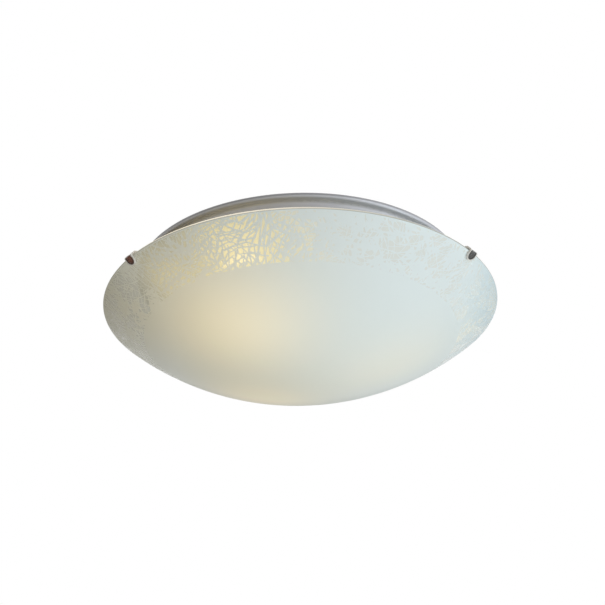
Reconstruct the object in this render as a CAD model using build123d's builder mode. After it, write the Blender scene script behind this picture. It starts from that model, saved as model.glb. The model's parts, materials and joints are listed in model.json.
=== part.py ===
from build123d import *

import os
from math import asin, atan, cos, degrees, pi, radians, sin, sqrt, tan

# A flush mount ceiling light: a shallow glass bowl hangs in three sprung clips under a sheet
# steel canopy, which carries three screw-in lamps and is fixed to a slotted bar on the ceiling.
# Lengths are in millimetres. The ceiling is the plane z = 0, so heights below it are negative.
# Angles are in degrees about +Z, counted from +X, and the near side of the light is -Y.

# Glass bowl, a part of a sphere
glass_radius = 200.0
glass_depth = 75.8
glass_thickness = 4.0
glass_rim_height = -39.0
glass_edge_fillet = 1.1

# Canopy, pressed from sheet steel, its edge curled outward and back in at the ceiling
sheet = 1.0
canopy_radius = 166.8
canopy_depth = 20.0
canopy_flare = 11.0
canopy_corner = 5.0
wall_lean = 20.0
curl_radius = 3.4
curl_bend = 3.0

# Ceiling bar, its two screw slots and its two pressed-in studs
bar_length = 140.0
bar_width = 30.0
bar_thickness = 2.0
bar_corner = 4.0
screw_slot_spacing = 80.0
screw_slot_length = 20.0
screw_slot_width = 5.2
supply_hole_radius = 5.0
stud_spacing = 120.0
stud_radius = 2.0
stud_collar_radius = 3.0
stud_reach = 24.0
stud_chamfer = 0.4

# Cap nuts under the canopy
nut_across_flats = 7.0
nut_height = 3.4
nut_flange_radius = 5.0
nut_flange = 0.8
nut_dome_radius = 3.2

# Rubber grommet in the middle of the canopy
grommet_seat_radius = 9.0
grommet_bore_radius = 6.5
grommet_flange_radius = 11.5
grommet_flange = 1.5

# Terminal block on the canopy's upper face
pole_count = 3
pole_pitch = 9.0
block_centre = -42.0
block_width = 18.0
block_height = 13.0
block_end_wall = 0.7
passage_width = 7.8
passage_height = 6.4
passage_floor = 3.4
ear_length = 8.0
ear_width = 11.0
ear_height = 3.0
clamp_length = 11.0
clamp_width = 6.8
clamp_height = 5.4
clamp_slot_width = 5.2
clamp_slot_height = 3.0
clamp_screw_radius = 1.5
clamp_screw_length = 3.6
clamp_screw_head_radius = 1.9
clamp_screw_head = 1.8
clamp_screw_spacing = 6.4
driver_slot = 0.6
cross_slot = 2.4
fixing_screw_radius = 1.6
fixing_screw_head_radius = 2.9
fixing_screw_head = 1.9
fixing_screw_length = 7.5

# Earth terminal
earth_position = -74.0
earth_screw_radius = 2.0
earth_head_radius = 3.8
earth_head = 2.4
earth_screw_length = 7.0
earth_washer_radius = 4.3
earth_washer = 0.8
earth_washer_teeth = 12
lug_radius = 4.2
lug_sheet = 0.8
lug_barrel_radius = 1.8
lug_barrel_length = 7.0
lug_neck = 1.6

# Insulated wires from the lampholders through the grommet to the terminal block
wire_radius = 1.1
wire_pitch = 2.45
wire_circle = 4.6
wire_spread = 20.0
wire_socket_side = 9.0
wire_socket_rise = 6.0
wire_socket_depth = 6.0
wire_low_height = -13.6
wire_high_height = -10.8
wire_turn_height = -28.0
wire_level_out = 6.5
wire_grip = 3.5
wire_bend_share = 0.45
right_knee = (1.5, 10.5)
far_knee = (-7.0, 8.0)

# Lampholders, their axes level and pointing outward
lamp_names = ("right", "rear", "left")
lamp_first_angle = 0.0
lamp_height = -52.0
holder_back = 20.0
holder_base = 10.0
holder_length = 38.0
holder_radius = 19.5
holder_skirt_radius = 17.5
holder_step = 16.0
holder_bore_radius = 15.5
holder_fillet = 1.5
sleeve_bore_radius = 13.25
sleeve_sheet = 0.5
sleeve_length = 24.0
sleeve_floor_hole = 7.0
contact_width = 5.0
contact_half_length = 4.8
contact_sheet = 0.6
contact_rise = 1.2
holder_screw_spacing = 16.0
holder_screw_radius = 1.5
holder_screw_length = 7.0
holder_screw_head_radius = 2.8
holder_screw_head = 1.8

# Bracket of each lampholder
bracket_sheet = 1.5
bracket_width = 14.0
bracket_drop = 46.0
bracket_reach = 51.0
bracket_bend = 2.5
bracket_rivet_radii = (30.0, 44.0)

# Lamps: pear bulbs with a screw cap, that unscrew outward
lamp_gap = 0.2
lamp_length = 98.0
bulb_radius = 27.5
bulb_wall = 0.8
bulb_shoulder = 118.0
bulb_neck_radius = 13.6
bulb_neck_bend = 20.0
cap_length = 27.0
cap_radius = 12.9
cap_thread_pitch = 3.629
cap_thread_turns = 4
cap_thread_radius = 1.0
cap_skirt_radius = 14.2
cap_skirt_length = 4.0
cap_sheet = 0.4
insulator_length = 4.0
insulator_tip_radius = 6.5
lamp_contact_radius = 4.8
lamp_contact_length = 1.6

# Sprung clips that hold the glass
clip_names = ("rear", "left", "right")
clip_angles = (91.0, 216.6, 325.3)
clip_sheet = 1.0
clip_width = 9.5
clip_height = -24.5
clip_tail_width = 5.0
clip_tail_reach = 32.0
clip_lug = 4.6
clip_lug_bend = 1.2
clip_slope_gap = 0.8
clip_slope_bend = 6.0
clip_hook_bend = 1.3
clip_tab_length = 8.5
clip_tip_share = 0.98
glass_gap = 0.3
cover_wall = 0.4
cover_border = 0.9
cover_reach = 9.0
snug_fit = 0.05

# Guide of each clip
guide_margin = 5.8
guide_length = 14.0
guide_sheet = 1.2
guide_width = 12.0
guide_depth = 9.0
guide_base_width = 26.0
guide_rivet_spacing = 19.0
guide_bend = 1.2
guide_clearance = 0.4
clip_shoulder_gap = 0.3

# Spring and washer on each clip's tail
spring_wire_radius = 0.5
spring_radius = 3.6
spring_turns = 10
spring_gap = 0.3
clip_washer_radius = 4.2
clip_washer = 1.0

# Blind rivets through the canopy
rivet_radius = 1.6
rivet_head_radius = 3.1
rivet_head = 1.0
rivet_tail_radius = 2.4
rivet_tail = 1.5

# Clearance on the radius: of rivets and cut threads, of screws and wires in plain holes, and of
# what drops in freely
hole_clearance = 0.05
screw_clearance = 0.1
free_clearance = 0.2

# Places that follow from the sizes above
plate_under = -canopy_depth
plate_top = plate_under + sheet
canopy_plate_radius = canopy_radius - canopy_flare
lamp_angles = [lamp_first_angle + 360 / len(lamp_names) * n for n in range(len(lamp_names))]

glass_sphere = (glass_radius**2 + glass_depth**2) / (2 * glass_depth)
glass_centre = glass_rim_height - glass_depth + glass_sphere
glass_rim_angle = degrees(asin(glass_radius / glass_sphere))

lamp_contact_end = holder_back + holder_base + contact_sheet + contact_rise + lamp_gap
lamp_tip = lamp_contact_end + lamp_length
bulb_centre = lamp_tip - bulb_radius
cap_end = lamp_contact_end + cap_length
cap_start = lamp_contact_end + lamp_contact_length + insulator_length

guide_outer = canopy_plate_radius - guide_margin
guide_inner = guide_outer - guide_length
clip_tail_end = guide_inner - clip_tail_reach
clip_slope_start = guide_outer + clip_slope_gap

block_near = block_centre + block_width / 2
block_far = block_centre - block_width / 2
block_top = plate_top + block_height
passage_height_centre = plate_top + passage_floor + passage_height / 2
pole_offsets = [pole_pitch * (n - (pole_count - 1) / 2) for n in range(pole_count)]
block_length = pole_pitch * (pole_count - 1) + passage_width + 2 * block_end_wall
ear_offset = (block_length + ear_length) / 2
wire_end = block_near - wire_grip


def outward(angle):
    """Level direction away from the vertical axis."""
    return Vector(cos(radians(angle)), sin(radians(angle)), 0)


def place(angle, radius, side, height):
    """The point that lies so far out, sideways and up from the middle of the ceiling."""
    sideways = outward(angle + 90)
    return outward(angle) * radius + sideways * side + Vector(0, 0, height)


def upright_plane(angle, height=0.0):
    """Plane through the vertical axis: local x runs outward and local y upward."""
    return Plane(origin=(0, 0, height), x_dir=outward(angle), z_dir=outward(angle - 90))


def facing_plane(angle, radius, height):
    """Plane that faces outward: local x runs sideways and local y upward."""
    return Plane(
        origin=place(angle, radius, 0, height), x_dir=outward(angle + 90), z_dir=outward(angle)
    )


def level_plane(angle, radius, height):
    """Level plane that faces up: local x runs outward and local y sideways."""
    return Plane(origin=place(angle, radius, 0, height), x_dir=outward(angle), z_dir=(0, 0, 1))


def lamp_axis(angle):
    return Axis((0, 0, lamp_height), outward(angle))


def bend_radii(points):
    """An even bend at each corner of a wire, over a set share of the shorter run beside it."""
    radii = []
    for before, corner, after in zip(points, points[1:], points[2:]):
        turn = (corner - before).get_angle(after - corner)
        shorter = min((corner - before).length, (after - corner).length)
        radii.append(wire_bend_share * shorter / tan(radians(turn / 2)))
    return radii


def arc_joint(first, second, first_tangent, middle):
    """Where two arcs meet between two like points of a coil, on the line from its axis."""
    out = ((first + second) * 0.5 - middle).normalized()
    chord = (first + second) * 0.5 - first
    lean = first_tangent.dot(out)
    along = first_tangent.dot(chord)
    rise = (sqrt(along**2 + lean**2 * chord.dot(chord)) - along) / lean
    return (first + second) * 0.5 + out * rise


os.makedirs("parts", exist_ok=True)

# ---------------------------------------------------------------- glass bowl

with BuildPart() as shade:
    with BuildSketch(Plane.XZ) as shade_section:
        with BuildLine():
            outer_arc = CenterArc((0, glass_centre), glass_sphere, -90, glass_rim_angle)
            inner_arc = CenterArc(
                (0, glass_centre), glass_sphere - glass_thickness, -90, glass_rim_angle
            )
            Line(outer_arc @ 0, inner_arc @ 0)
            Line(outer_arc @ 1, inner_arc @ 1)
        make_face()
        fillet(shade_section.vertices().sort_by(Axis.X)[-2:], radius=glass_edge_fillet)
    revolve(axis=Axis.Z)
shade.part.label = "shade"
export_step(shade.part, "parts/shade.step")

# ------------------------------------------------------------------- canopy

curl_centre = canopy_radius - curl_radius
curl_foot = -2 * curl_radius
wall_slope = tan(radians(wall_lean))
wall_head = (canopy_plate_radius + (canopy_depth - curl_radius) * wall_slope, -curl_radius)
wall_beside_curl = (canopy_plate_radius + (canopy_depth + curl_foot) * wall_slope, curl_foot)

stud_points = [(0, stud_spacing / 2), (0, -stud_spacing / 2)]
fixing_points = [(block_centre, ear_offset), (block_centre, -ear_offset)]
bracket_rivet_points = [
    place(angle, radius, 0, 0) for angle in lamp_angles for radius in bracket_rivet_radii
]
guide_rivet_points = [
    place(angle, guide_inner + guide_length / 2, side * guide_rivet_spacing / 2, 0)
    for angle in clip_angles
    for side in (-1, 1)
]

with BuildPart() as canopy:
    with BuildSketch(Plane.XZ) as canopy_section:
        with BuildLine():
            Polyline(
                (0, plate_under),
                (canopy_plate_radius, plate_under),
                wall_head,
                (curl_centre, -curl_radius),
                (curl_centre, 0),
                (0, 0),
                close=True,
            )
        make_face()
        with Locations((curl_centre, -curl_radius)):
            Circle(curl_radius)
        groove = canopy_section.vertices().sort_by_distance(wall_beside_curl)[0]
        fillet(groove, radius=curl_bend)
        corner = canopy_section.vertices().sort_by_distance((canopy_plate_radius, plate_under))[0]
        fillet(corner, radius=canopy_corner)
        offset(amount=-sheet, mode=Mode.SUBTRACT)
        with Locations((0, plate_under)):
            Rectangle(grommet_seat_radius, canopy_depth, align=Align.MIN, mode=Mode.SUBTRACT)
        with Locations((0, -sheet)):
            Rectangle(curl_centre, sheet, align=Align.MIN, mode=Mode.SUBTRACT)
    revolve(axis=Axis.Z)
    with BuildSketch(Plane.XY.offset(plate_under)):
        with Locations(*stud_points):
            Circle(stud_radius + free_clearance)
        with Locations(*fixing_points):
            Circle(fixing_screw_radius + hole_clearance)
        with Locations((earth_position, 0)):
            Circle(earth_screw_radius + hole_clearance)
        with Locations(*bracket_rivet_points, *guide_rivet_points):
            Circle(rivet_radius + hole_clearance)
    extrude(amount=sheet, mode=Mode.SUBTRACT)
canopy.part.label = "canopy"
export_step(canopy.part, "parts/canopy.step")

# ------------------------------------------- ceiling bar, studs and cap nuts

with BuildPart() as mounting_bar:
    with BuildSketch(Plane.XY.offset(-bar_thickness)):
        RectangleRounded(bar_width, bar_length, bar_corner)
        Circle(supply_hole_radius, mode=Mode.SUBTRACT)
        with Locations((0, screw_slot_spacing / 2), (0, -screw_slot_spacing / 2)):
            SlotOverall(screw_slot_length, screw_slot_width, rotation=90, mode=Mode.SUBTRACT)
        with Locations(*stud_points):
            Circle(stud_collar_radius, mode=Mode.SUBTRACT)
    extrude(amount=bar_thickness)
mounting_bar.part.label = "mounting_bar"
export_step(mounting_bar.part, "parts/mounting_bar.step")

with BuildPart() as bar_studs:
    with BuildSketch():
        with Locations(*stud_points):
            Circle(stud_collar_radius)
    extrude(amount=-bar_thickness)
    with BuildSketch(Plane.XY.offset(-bar_thickness)):
        with Locations(*stud_points):
            Circle(stud_radius)
    extrude(amount=bar_thickness - stud_reach)
    chamfer(bar_studs.edges().group_by(Axis.Z)[0], length=stud_chamfer)
bar_studs.part.label = "bar_studs"
export_step(bar_studs.part, "parts/bar_studs.step")

nut_foot = plate_under - nut_flange - nut_height
with BuildPart() as cap_nuts:
    with BuildSketch(Plane.XY.offset(plate_under)):
        with Locations(*stud_points):
            Circle(nut_flange_radius)
    extrude(amount=-nut_flange)
    with BuildSketch(Plane.XY.offset(plate_under - nut_flange)):
        with Locations(*stud_points):
            RegularPolygon(nut_across_flats / 2, 6, major_radius=False)
    extrude(amount=-nut_height)
    with Locations(*[(x, y, nut_foot) for x, y in stud_points]):
        Sphere(nut_dome_radius)
    with BuildSketch(Plane.XY.offset(plate_under)):
        with Locations(*stud_points):
            Circle(stud_radius + hole_clearance)
    extrude(amount=nut_foot - plate_under, mode=Mode.SUBTRACT)
cap_nuts.part.label = "cap_nuts"
export_step(cap_nuts.part, "parts/cap_nuts.step")

# ------------------------------------------------------------ cable grommet

with BuildPart() as cable_grommet:
    with BuildSketch(Plane.XZ):
        with BuildLine():
            Polyline(
                (grommet_bore_radius, plate_under - grommet_flange),
                (grommet_flange_radius, plate_under - grommet_flange),
                (grommet_flange_radius, plate_under),
                (grommet_seat_radius, plate_under),
                (grommet_seat_radius, plate_top),
                (grommet_flange_radius, plate_top),
                (grommet_flange_radius, plate_top + grommet_flange),
                (grommet_bore_radius, plate_top + grommet_flange),
                close=True,
            )
        make_face()
    revolve(axis=Axis.Z)
    rims = cable_grommet.edges().filter_by(GeomType.CIRCLE).group_by(Axis.Z)
    fillet([rims[0], rims[-1]], radius=grommet_flange / 3)
cable_grommet.part.label = "cable_grommet"
export_step(cable_grommet.part, "parts/cable_grommet.step")

# ----------------------------------------------------------- terminal block

clamp_screw_points = [
    (block_centre + side * clamp_screw_spacing / 2, offset)
    for offset in pole_offsets
    for side in (-1, 1)
]
clamp_top = passage_height_centre + clamp_height / 2
clamp_screw_under = clamp_top + (block_top - clamp_top) / 4

with BuildPart() as terminal_block:
    with BuildSketch(Plane.XY.offset(plate_top)):
        with Locations((block_centre, 0)):
            Rectangle(block_width, block_length)
    extrude(amount=block_height)
    fillet(terminal_block.edges().group_by(Axis.Z)[-1], radius=block_end_wall)
    with BuildSketch(Plane.XY.offset(plate_top)):
        with Locations(*fixing_points):
            Rectangle(ear_width, ear_length)
    extrude(amount=ear_height)
    with BuildSketch(Plane.XY.offset(plate_top)):
        with Locations(*fixing_points):
            Circle(fixing_screw_radius + hole_clearance)
    extrude(amount=ear_height, mode=Mode.SUBTRACT)
    with BuildSketch(Plane.YZ.offset(block_far)):
        with Locations(*[(offset, passage_height_centre) for offset in pole_offsets]):
            Rectangle(passage_width, passage_height)
    extrude(amount=block_width, mode=Mode.SUBTRACT)
    with BuildSketch(Plane.XY.offset(block_top)):
        with Locations(*clamp_screw_points):
            Circle(clamp_screw_head_radius + free_clearance)
    extrude(amount=clamp_screw_under - block_top, mode=Mode.SUBTRACT)
    with BuildSketch(Plane.XY.offset(clamp_screw_under)):
        with Locations(*clamp_screw_points):
            Circle(clamp_screw_radius + screw_clearance)
    extrude(amount=clamp_top - clamp_screw_under, mode=Mode.SUBTRACT)
terminal_block.part.label = "terminal_block"
export_step(terminal_block.part, "parts/terminal_block.step")

with BuildPart() as terminal_clamps:
    with BuildSketch(Plane.YZ.offset(block_centre - clamp_length / 2)):
        with Locations(*[(offset, passage_height_centre) for offset in pole_offsets]):
            Rectangle(clamp_width, clamp_height)
            Rectangle(clamp_slot_width, clamp_slot_height, mode=Mode.SUBTRACT)
    extrude(amount=clamp_length)
    with BuildSketch(Plane.XY.offset(clamp_top)):
        with Locations(*clamp_screw_points):
            Circle(clamp_screw_radius + hole_clearance)
    extrude(amount=-(clamp_height - clamp_slot_height) / 2, mode=Mode.SUBTRACT)
terminal_clamps.part.label = "terminal_clamps"
export_step(terminal_clamps.part, "parts/terminal_clamps.step")

with BuildPart() as terminal_screws:
    with BuildSketch(Plane.XY.offset(clamp_screw_under)):
        with Locations(*clamp_screw_points):
            Circle(clamp_screw_radius)
    extrude(amount=-clamp_screw_length)
    with BuildSketch(Plane.XY.offset(clamp_screw_under)):
        with Locations(*clamp_screw_points):
            Circle(clamp_screw_head_radius)
    extrude(amount=clamp_screw_head)
    with BuildSketch(Plane.XY.offset(clamp_screw_under + clamp_screw_head)):
        with Locations(*clamp_screw_points):
            Rectangle(2 * clamp_screw_head_radius, driver_slot)
    extrude(amount=-clamp_screw_head / 2, mode=Mode.SUBTRACT)
terminal_screws.part.label = "terminal_screws"
export_step(terminal_screws.part, "parts/terminal_screws.step")

ear_top = plate_top + ear_height
with BuildPart() as terminal_fixing:
    with BuildSketch(Plane.XY.offset(ear_top)):
        with Locations(*fixing_points):
            Circle(fixing_screw_radius)
    extrude(amount=-fixing_screw_length)
    with BuildSketch(Plane.XY.offset(ear_top)):
        with Locations(*fixing_points):
            Circle(fixing_screw_head_radius)
    extrude(amount=fixing_screw_head)
    fillet(terminal_fixing.edges().group_by(Axis.Z)[-1], radius=fixing_screw_head / 2)
    with BuildSketch(Plane.XY.offset(ear_top + fixing_screw_head)):
        with Locations(*fixing_points):
            Rectangle(driver_slot, cross_slot)
            Rectangle(cross_slot, driver_slot)
    extrude(amount=-fixing_screw_head / 2, mode=Mode.SUBTRACT)
terminal_fixing.part.label = "terminal_fixing"
export_step(terminal_fixing.part, "parts/terminal_fixing.step")

# ----------------------------------------------------------- earth terminal

washer_top = plate_top + earth_washer
lug_top = washer_top + lug_sheet
barrel_height = washer_top + lug_barrel_radius
barrel_start = earth_position + lug_radius + lug_neck

with BuildPart() as earth_washer_disc:
    with BuildSketch(Plane.XY.offset(plate_top)):
        with Locations((earth_position, 0)):
            Circle(earth_washer_radius)
            Circle(earth_screw_radius + screw_clearance, mode=Mode.SUBTRACT)
            with PolarLocations(earth_washer_radius, earth_washer_teeth):
                Rectangle(earth_washer_radius / 2, earth_washer, mode=Mode.SUBTRACT)
    extrude(amount=earth_washer)
earth_washer_disc.part.label = "earth_washer"
export_step(earth_washer_disc.part, "parts/earth_washer.step")

with BuildPart() as earth_lug:
    with BuildSketch(Plane.XY.offset(washer_top)):
        with Locations((earth_position, 0)):
            Circle(lug_radius)
        with Locations(((earth_position + barrel_start) / 2, 0)):
            Rectangle(barrel_start - earth_position, lug_radius)
        with Locations((earth_position, 0)):
            Circle(earth_screw_radius + screw_clearance, mode=Mode.SUBTRACT)
    extrude(amount=lug_sheet)
    with BuildSketch(Plane.YZ.offset(barrel_start)):
        with Locations((0, barrel_height)):
            Circle(lug_barrel_radius)
            Circle(wire_radius + hole_clearance, mode=Mode.SUBTRACT)
    extrude(amount=lug_barrel_length)
earth_lug.part.label = "earth_lug"
export_step(earth_lug.part, "parts/earth_lug.step")

with BuildPart() as earth_screw:
    with BuildSketch(Plane.XY.offset(lug_top)):
        with Locations((earth_position, 0)):
            Circle(earth_screw_radius)
    extrude(amount=-earth_screw_length)
    with BuildSketch(Plane.XY.offset(lug_top)):
        with Locations((earth_position, 0)):
            Circle(earth_head_radius)
    extrude(amount=earth_head)
    fillet(earth_screw.edges().group_by(Axis.Z)[-1], radius=earth_head / 2)
    with BuildSketch(Plane.XY.offset(lug_top + earth_head)):
        with Locations((earth_position, 0)):
            Rectangle(cross_slot, driver_slot)
            Rectangle(driver_slot, cross_slot)
    extrude(amount=-earth_head / 2, mode=Mode.SUBTRACT)
earth_screw.part.label = "earth_screw"
export_step(earth_screw.part, "parts/earth_screw.step")

# -------------------------------------------------------------------- wires

live_pole, neutral_pole = pole_offsets[0], pole_offsets[-1]
wire_bend_line = wire_end + wire_level_out * 2


def wire_route(angle, side, level, slot, knee=None):
    """From a lampholder's back, up through the grommet and across to its place in a pole."""
    at_grommet = angle + side * wire_spread
    socket_height = lamp_height + wire_socket_rise
    socket_end = holder_back + wire_socket_depth - free_clearance
    route = [
        place(angle, socket_end, side * wire_socket_side, socket_height),
        place(angle, holder_back - wire_level_out, side * wire_socket_side, socket_height),
        place(at_grommet, wire_circle, 0, wire_turn_height),
        place(at_grommet, wire_circle, 0, level),
    ]
    if knee:
        out, sideways = knee
        route.append(Vector(out, sideways if slot > 0 else -sideways, level))
    route += [Vector(wire_bend_line, slot, level), Vector(wire_end, slot, level)]
    return route


right_lamp, rear_lamp, left_lamp = lamp_angles
live_routes = [
    wire_route(right_lamp, -1, wire_low_height, live_pole - wire_pitch, right_knee),
    wire_route(left_lamp, 1, wire_low_height, live_pole, far_knee),
    wire_route(rear_lamp, 1, wire_low_height, live_pole + wire_pitch),
]
neutral_routes = [
    wire_route(right_lamp, 1, wire_low_height, neutral_pole + wire_pitch, right_knee),
    wire_route(rear_lamp, -1, wire_low_height, neutral_pole, far_knee),
    wire_route(left_lamp, -1, wire_high_height, neutral_pole - wire_pitch),
]
earth_route = [
    Vector(block_far + wire_grip, 0, passage_height_centre),
    Vector(block_far - wire_grip, 0, passage_height_centre),
    Vector(barrel_start + lug_barrel_length + wire_grip / 2, 0, barrel_height),
    Vector(barrel_start + lug_barrel_length / 4, 0, barrel_height),
]

with BuildPart() as live_wires:
    for route in live_routes:
        with BuildLine() as wire_path:
            FilletPolyline(*route, radius=bend_radii(route))
        with BuildSketch(Plane(origin=wire_path.line @ 0, z_dir=wire_path.line % 0)):
            Circle(wire_radius)
        sweep(path=wire_path.line)
        print("live wire bends", [round(radius, 1) for radius in bend_radii(route)])
live_wires.part.label = "live_wires"
export_step(live_wires.part, "parts/live_wires.step")

with BuildPart() as neutral_wires:
    for route in neutral_routes:
        with BuildLine() as wire_path:
            FilletPolyline(*route, radius=bend_radii(route))
        with BuildSketch(Plane(origin=wire_path.line @ 0, z_dir=wire_path.line % 0)):
            Circle(wire_radius)
        sweep(path=wire_path.line)
        print("neutral wire bends", [round(radius, 1) for radius in bend_radii(route)])
neutral_wires.part.label = "neutral_wires"
export_step(neutral_wires.part, "parts/neutral_wires.step")

with BuildPart() as earth_wire:
    with BuildLine() as wire_path:
        FilletPolyline(*earth_route, radius=bend_radii(earth_route))
    with BuildSketch(Plane(origin=wire_path.line @ 0, z_dir=wire_path.line % 0)):
        Circle(wire_radius)
    sweep(path=wire_path.line)
    print("earth wire bends", [round(radius, 1) for radius in bend_radii(earth_route)])
earth_wire.part.label = "earth_wire"
export_step(earth_wire.part, "parts/earth_wire.step")

# ------------------------------------------------------------- lampholders

holder_face = holder_back + holder_base
holder_mouth = holder_back + holder_length
holder_screw_heights = [holder_screw_spacing / 2, -holder_screw_spacing / 2]

for name, angle in zip(lamp_names, lamp_angles):
    with BuildPart() as holder_shell:
        with BuildSketch(upright_plane(angle, lamp_height)):
            with BuildLine():
                Polyline(
                    (holder_back, 0),
                    (holder_back, holder_radius),
                    (holder_back + holder_step, holder_radius),
                    (holder_back + holder_step + 2 * holder_fillet, holder_skirt_radius),
                    (holder_mouth, holder_skirt_radius),
                    (holder_mouth, holder_bore_radius),
                    (holder_face, holder_bore_radius),
                    (holder_face, 0),
                    close=True,
                )
            make_face()
        revolve(axis=lamp_axis(angle))
        outer_rim = holder_shell.edges().filter_by(GeomType.CIRCLE)
        fillet(
            outer_rim.filter_by(lambda edge: edge.radius > holder_skirt_radius + hole_clearance),
            radius=holder_fillet,
        )
        with BuildSketch(facing_plane(angle, holder_back, lamp_height)):
            with Locations(*[(0, height) for height in holder_screw_heights]):
                Circle(holder_screw_radius + hole_clearance)
        extrude(amount=holder_screw_length, mode=Mode.SUBTRACT)
        with BuildSketch(facing_plane(angle, holder_back, lamp_height)):
            with Locations(
                (wire_socket_side, wire_socket_rise), (-wire_socket_side, wire_socket_rise)
            ):
                Circle(wire_radius + screw_clearance)
        extrude(amount=wire_socket_depth, mode=Mode.SUBTRACT)
    holder_shell.part.label = f"holder_shell_{name}"
    export_step(holder_shell.part, f"parts/holder_shell_{name}.step")

    with BuildPart() as holder_sleeve:
        with BuildSketch(upright_plane(angle, lamp_height)):
            with BuildLine():
                Polyline(
                    (holder_face, sleeve_floor_hole),
                    (holder_face, sleeve_bore_radius + sleeve_sheet),
                    (holder_face + sleeve_length, sleeve_bore_radius + sleeve_sheet),
                    (holder_face + sleeve_length, sleeve_bore_radius),
                    (holder_face + sleeve_sheet, sleeve_bore_radius),
                    (holder_face + sleeve_sheet, sleeve_floor_hole),
                    close=True,
                )
            make_face()
        revolve(axis=lamp_axis(angle))
    holder_sleeve.part.label = f"holder_sleeve_{name}"
    export_step(holder_sleeve.part, f"parts/holder_sleeve_{name}.step")

    with BuildPart() as holder_contact:
        with BuildSketch(upright_plane(angle, lamp_height)):
            with BuildLine():
                foot = holder_face + contact_sheet / 2
                FilletPolyline(
                    (foot, -contact_half_length),
                    (foot, -contact_half_length / 3),
                    (foot + contact_rise, contact_half_length / 3),
                    (foot + contact_rise, contact_half_length),
                    radius=contact_sheet,
                )
            trace(line_width=contact_sheet)
        extrude(amount=contact_width / 2, both=True)
    holder_contact.part.label = f"holder_contact_{name}"
    export_step(holder_contact.part, f"parts/holder_contact_{name}.step")

    with BuildPart() as holder_bracket:
        with BuildSketch(upright_plane(angle)):
            with BuildLine():
                leg = holder_back - bracket_sheet / 2
                shelf = plate_under - bracket_sheet / 2
                FilletPolyline(
                    (leg, plate_under - bracket_drop),
                    (leg, shelf),
                    (bracket_reach, shelf),
                    radius=bracket_bend,
                )
            trace(line_width=bracket_sheet)
        extrude(amount=bracket_width / 2, both=True)
        with BuildSketch(facing_plane(angle, holder_back, lamp_height)):
            with Locations(*[(0, height) for height in holder_screw_heights]):
                Circle(holder_screw_radius + screw_clearance)
        extrude(amount=-bracket_sheet, mode=Mode.SUBTRACT)
        with BuildSketch(level_plane(angle, 0, plate_under)):
            with Locations(*[(radius, 0) for radius in bracket_rivet_radii]):
                Circle(rivet_radius + hole_clearance)
        extrude(amount=-bracket_sheet, mode=Mode.SUBTRACT)
    holder_bracket.part.label = f"holder_bracket_{name}"
    export_step(holder_bracket.part, f"parts/holder_bracket_{name}.step")

screw_seat = holder_back - bracket_sheet
with BuildPart() as holder_screws:
    for angle in lamp_angles:
        with BuildSketch(facing_plane(angle, screw_seat, lamp_height)):
            with Locations(*[(0, height) for height in holder_screw_heights]):
                Circle(holder_screw_radius)
        extrude(amount=holder_screw_length)
        with BuildSketch(facing_plane(angle, screw_seat, lamp_height)):
            with Locations(*[(0, height) for height in holder_screw_heights]):
                Circle(holder_screw_head_radius)
        extrude(amount=-holder_screw_head)
        with BuildSketch(facing_plane(angle, screw_seat - holder_screw_head, lamp_height)):
            with Locations(*[(0, height) for height in holder_screw_heights]):
                Rectangle(cross_slot, driver_slot)
                Rectangle(driver_slot, cross_slot)
        extrude(amount=holder_screw_head / 2, mode=Mode.SUBTRACT)
holder_screws.part.label = "holder_screws"
export_step(holder_screws.part, "parts/holder_screws.step")

with BuildPart() as bracket_rivets:
    rivet_seat = plate_under - bracket_sheet
    with BuildSketch(Plane.XY.offset(rivet_seat)):
        with Locations(*bracket_rivet_points):
            Circle(rivet_radius)
    extrude(amount=bracket_sheet + sheet)
    with BuildSketch(Plane.XY.offset(rivet_seat)):
        with Locations(*bracket_rivet_points):
            Circle(rivet_head_radius)
    extrude(amount=-rivet_head)
    with BuildSketch(Plane.XY.offset(plate_top)):
        with Locations(*bracket_rivet_points):
            Circle(rivet_tail_radius)
    extrude(amount=rivet_tail)
    rivet_ends = bracket_rivets.edges().group_by(Axis.Z)
    fillet([rivet_ends[0], rivet_ends[-1]], radius=rivet_head / 2)
bracket_rivets.part.label = "bracket_rivets"
export_step(bracket_rivets.part, "parts/bracket_rivets.step")

# -------------------------------------------------------------------- lamps

contact_face = lamp_contact_end + lamp_contact_length
shoulder_point = (
    bulb_centre + bulb_radius * cos(radians(bulb_shoulder)),
    bulb_radius * sin(radians(bulb_shoulder)),
)
neck_length = (shoulder_point[1] - bulb_neck_radius) / tan(radians(bulb_shoulder - 90))
neck_corner = (shoulder_point[0] - neck_length, bulb_neck_radius)
neck_end = cap_end - cap_skirt_length
thread_start = cap_start + cap_thread_pitch
thread_rings = [(thread_start + cap_thread_pitch * n, cap_radius) for n in range(cap_thread_turns)]

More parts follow.
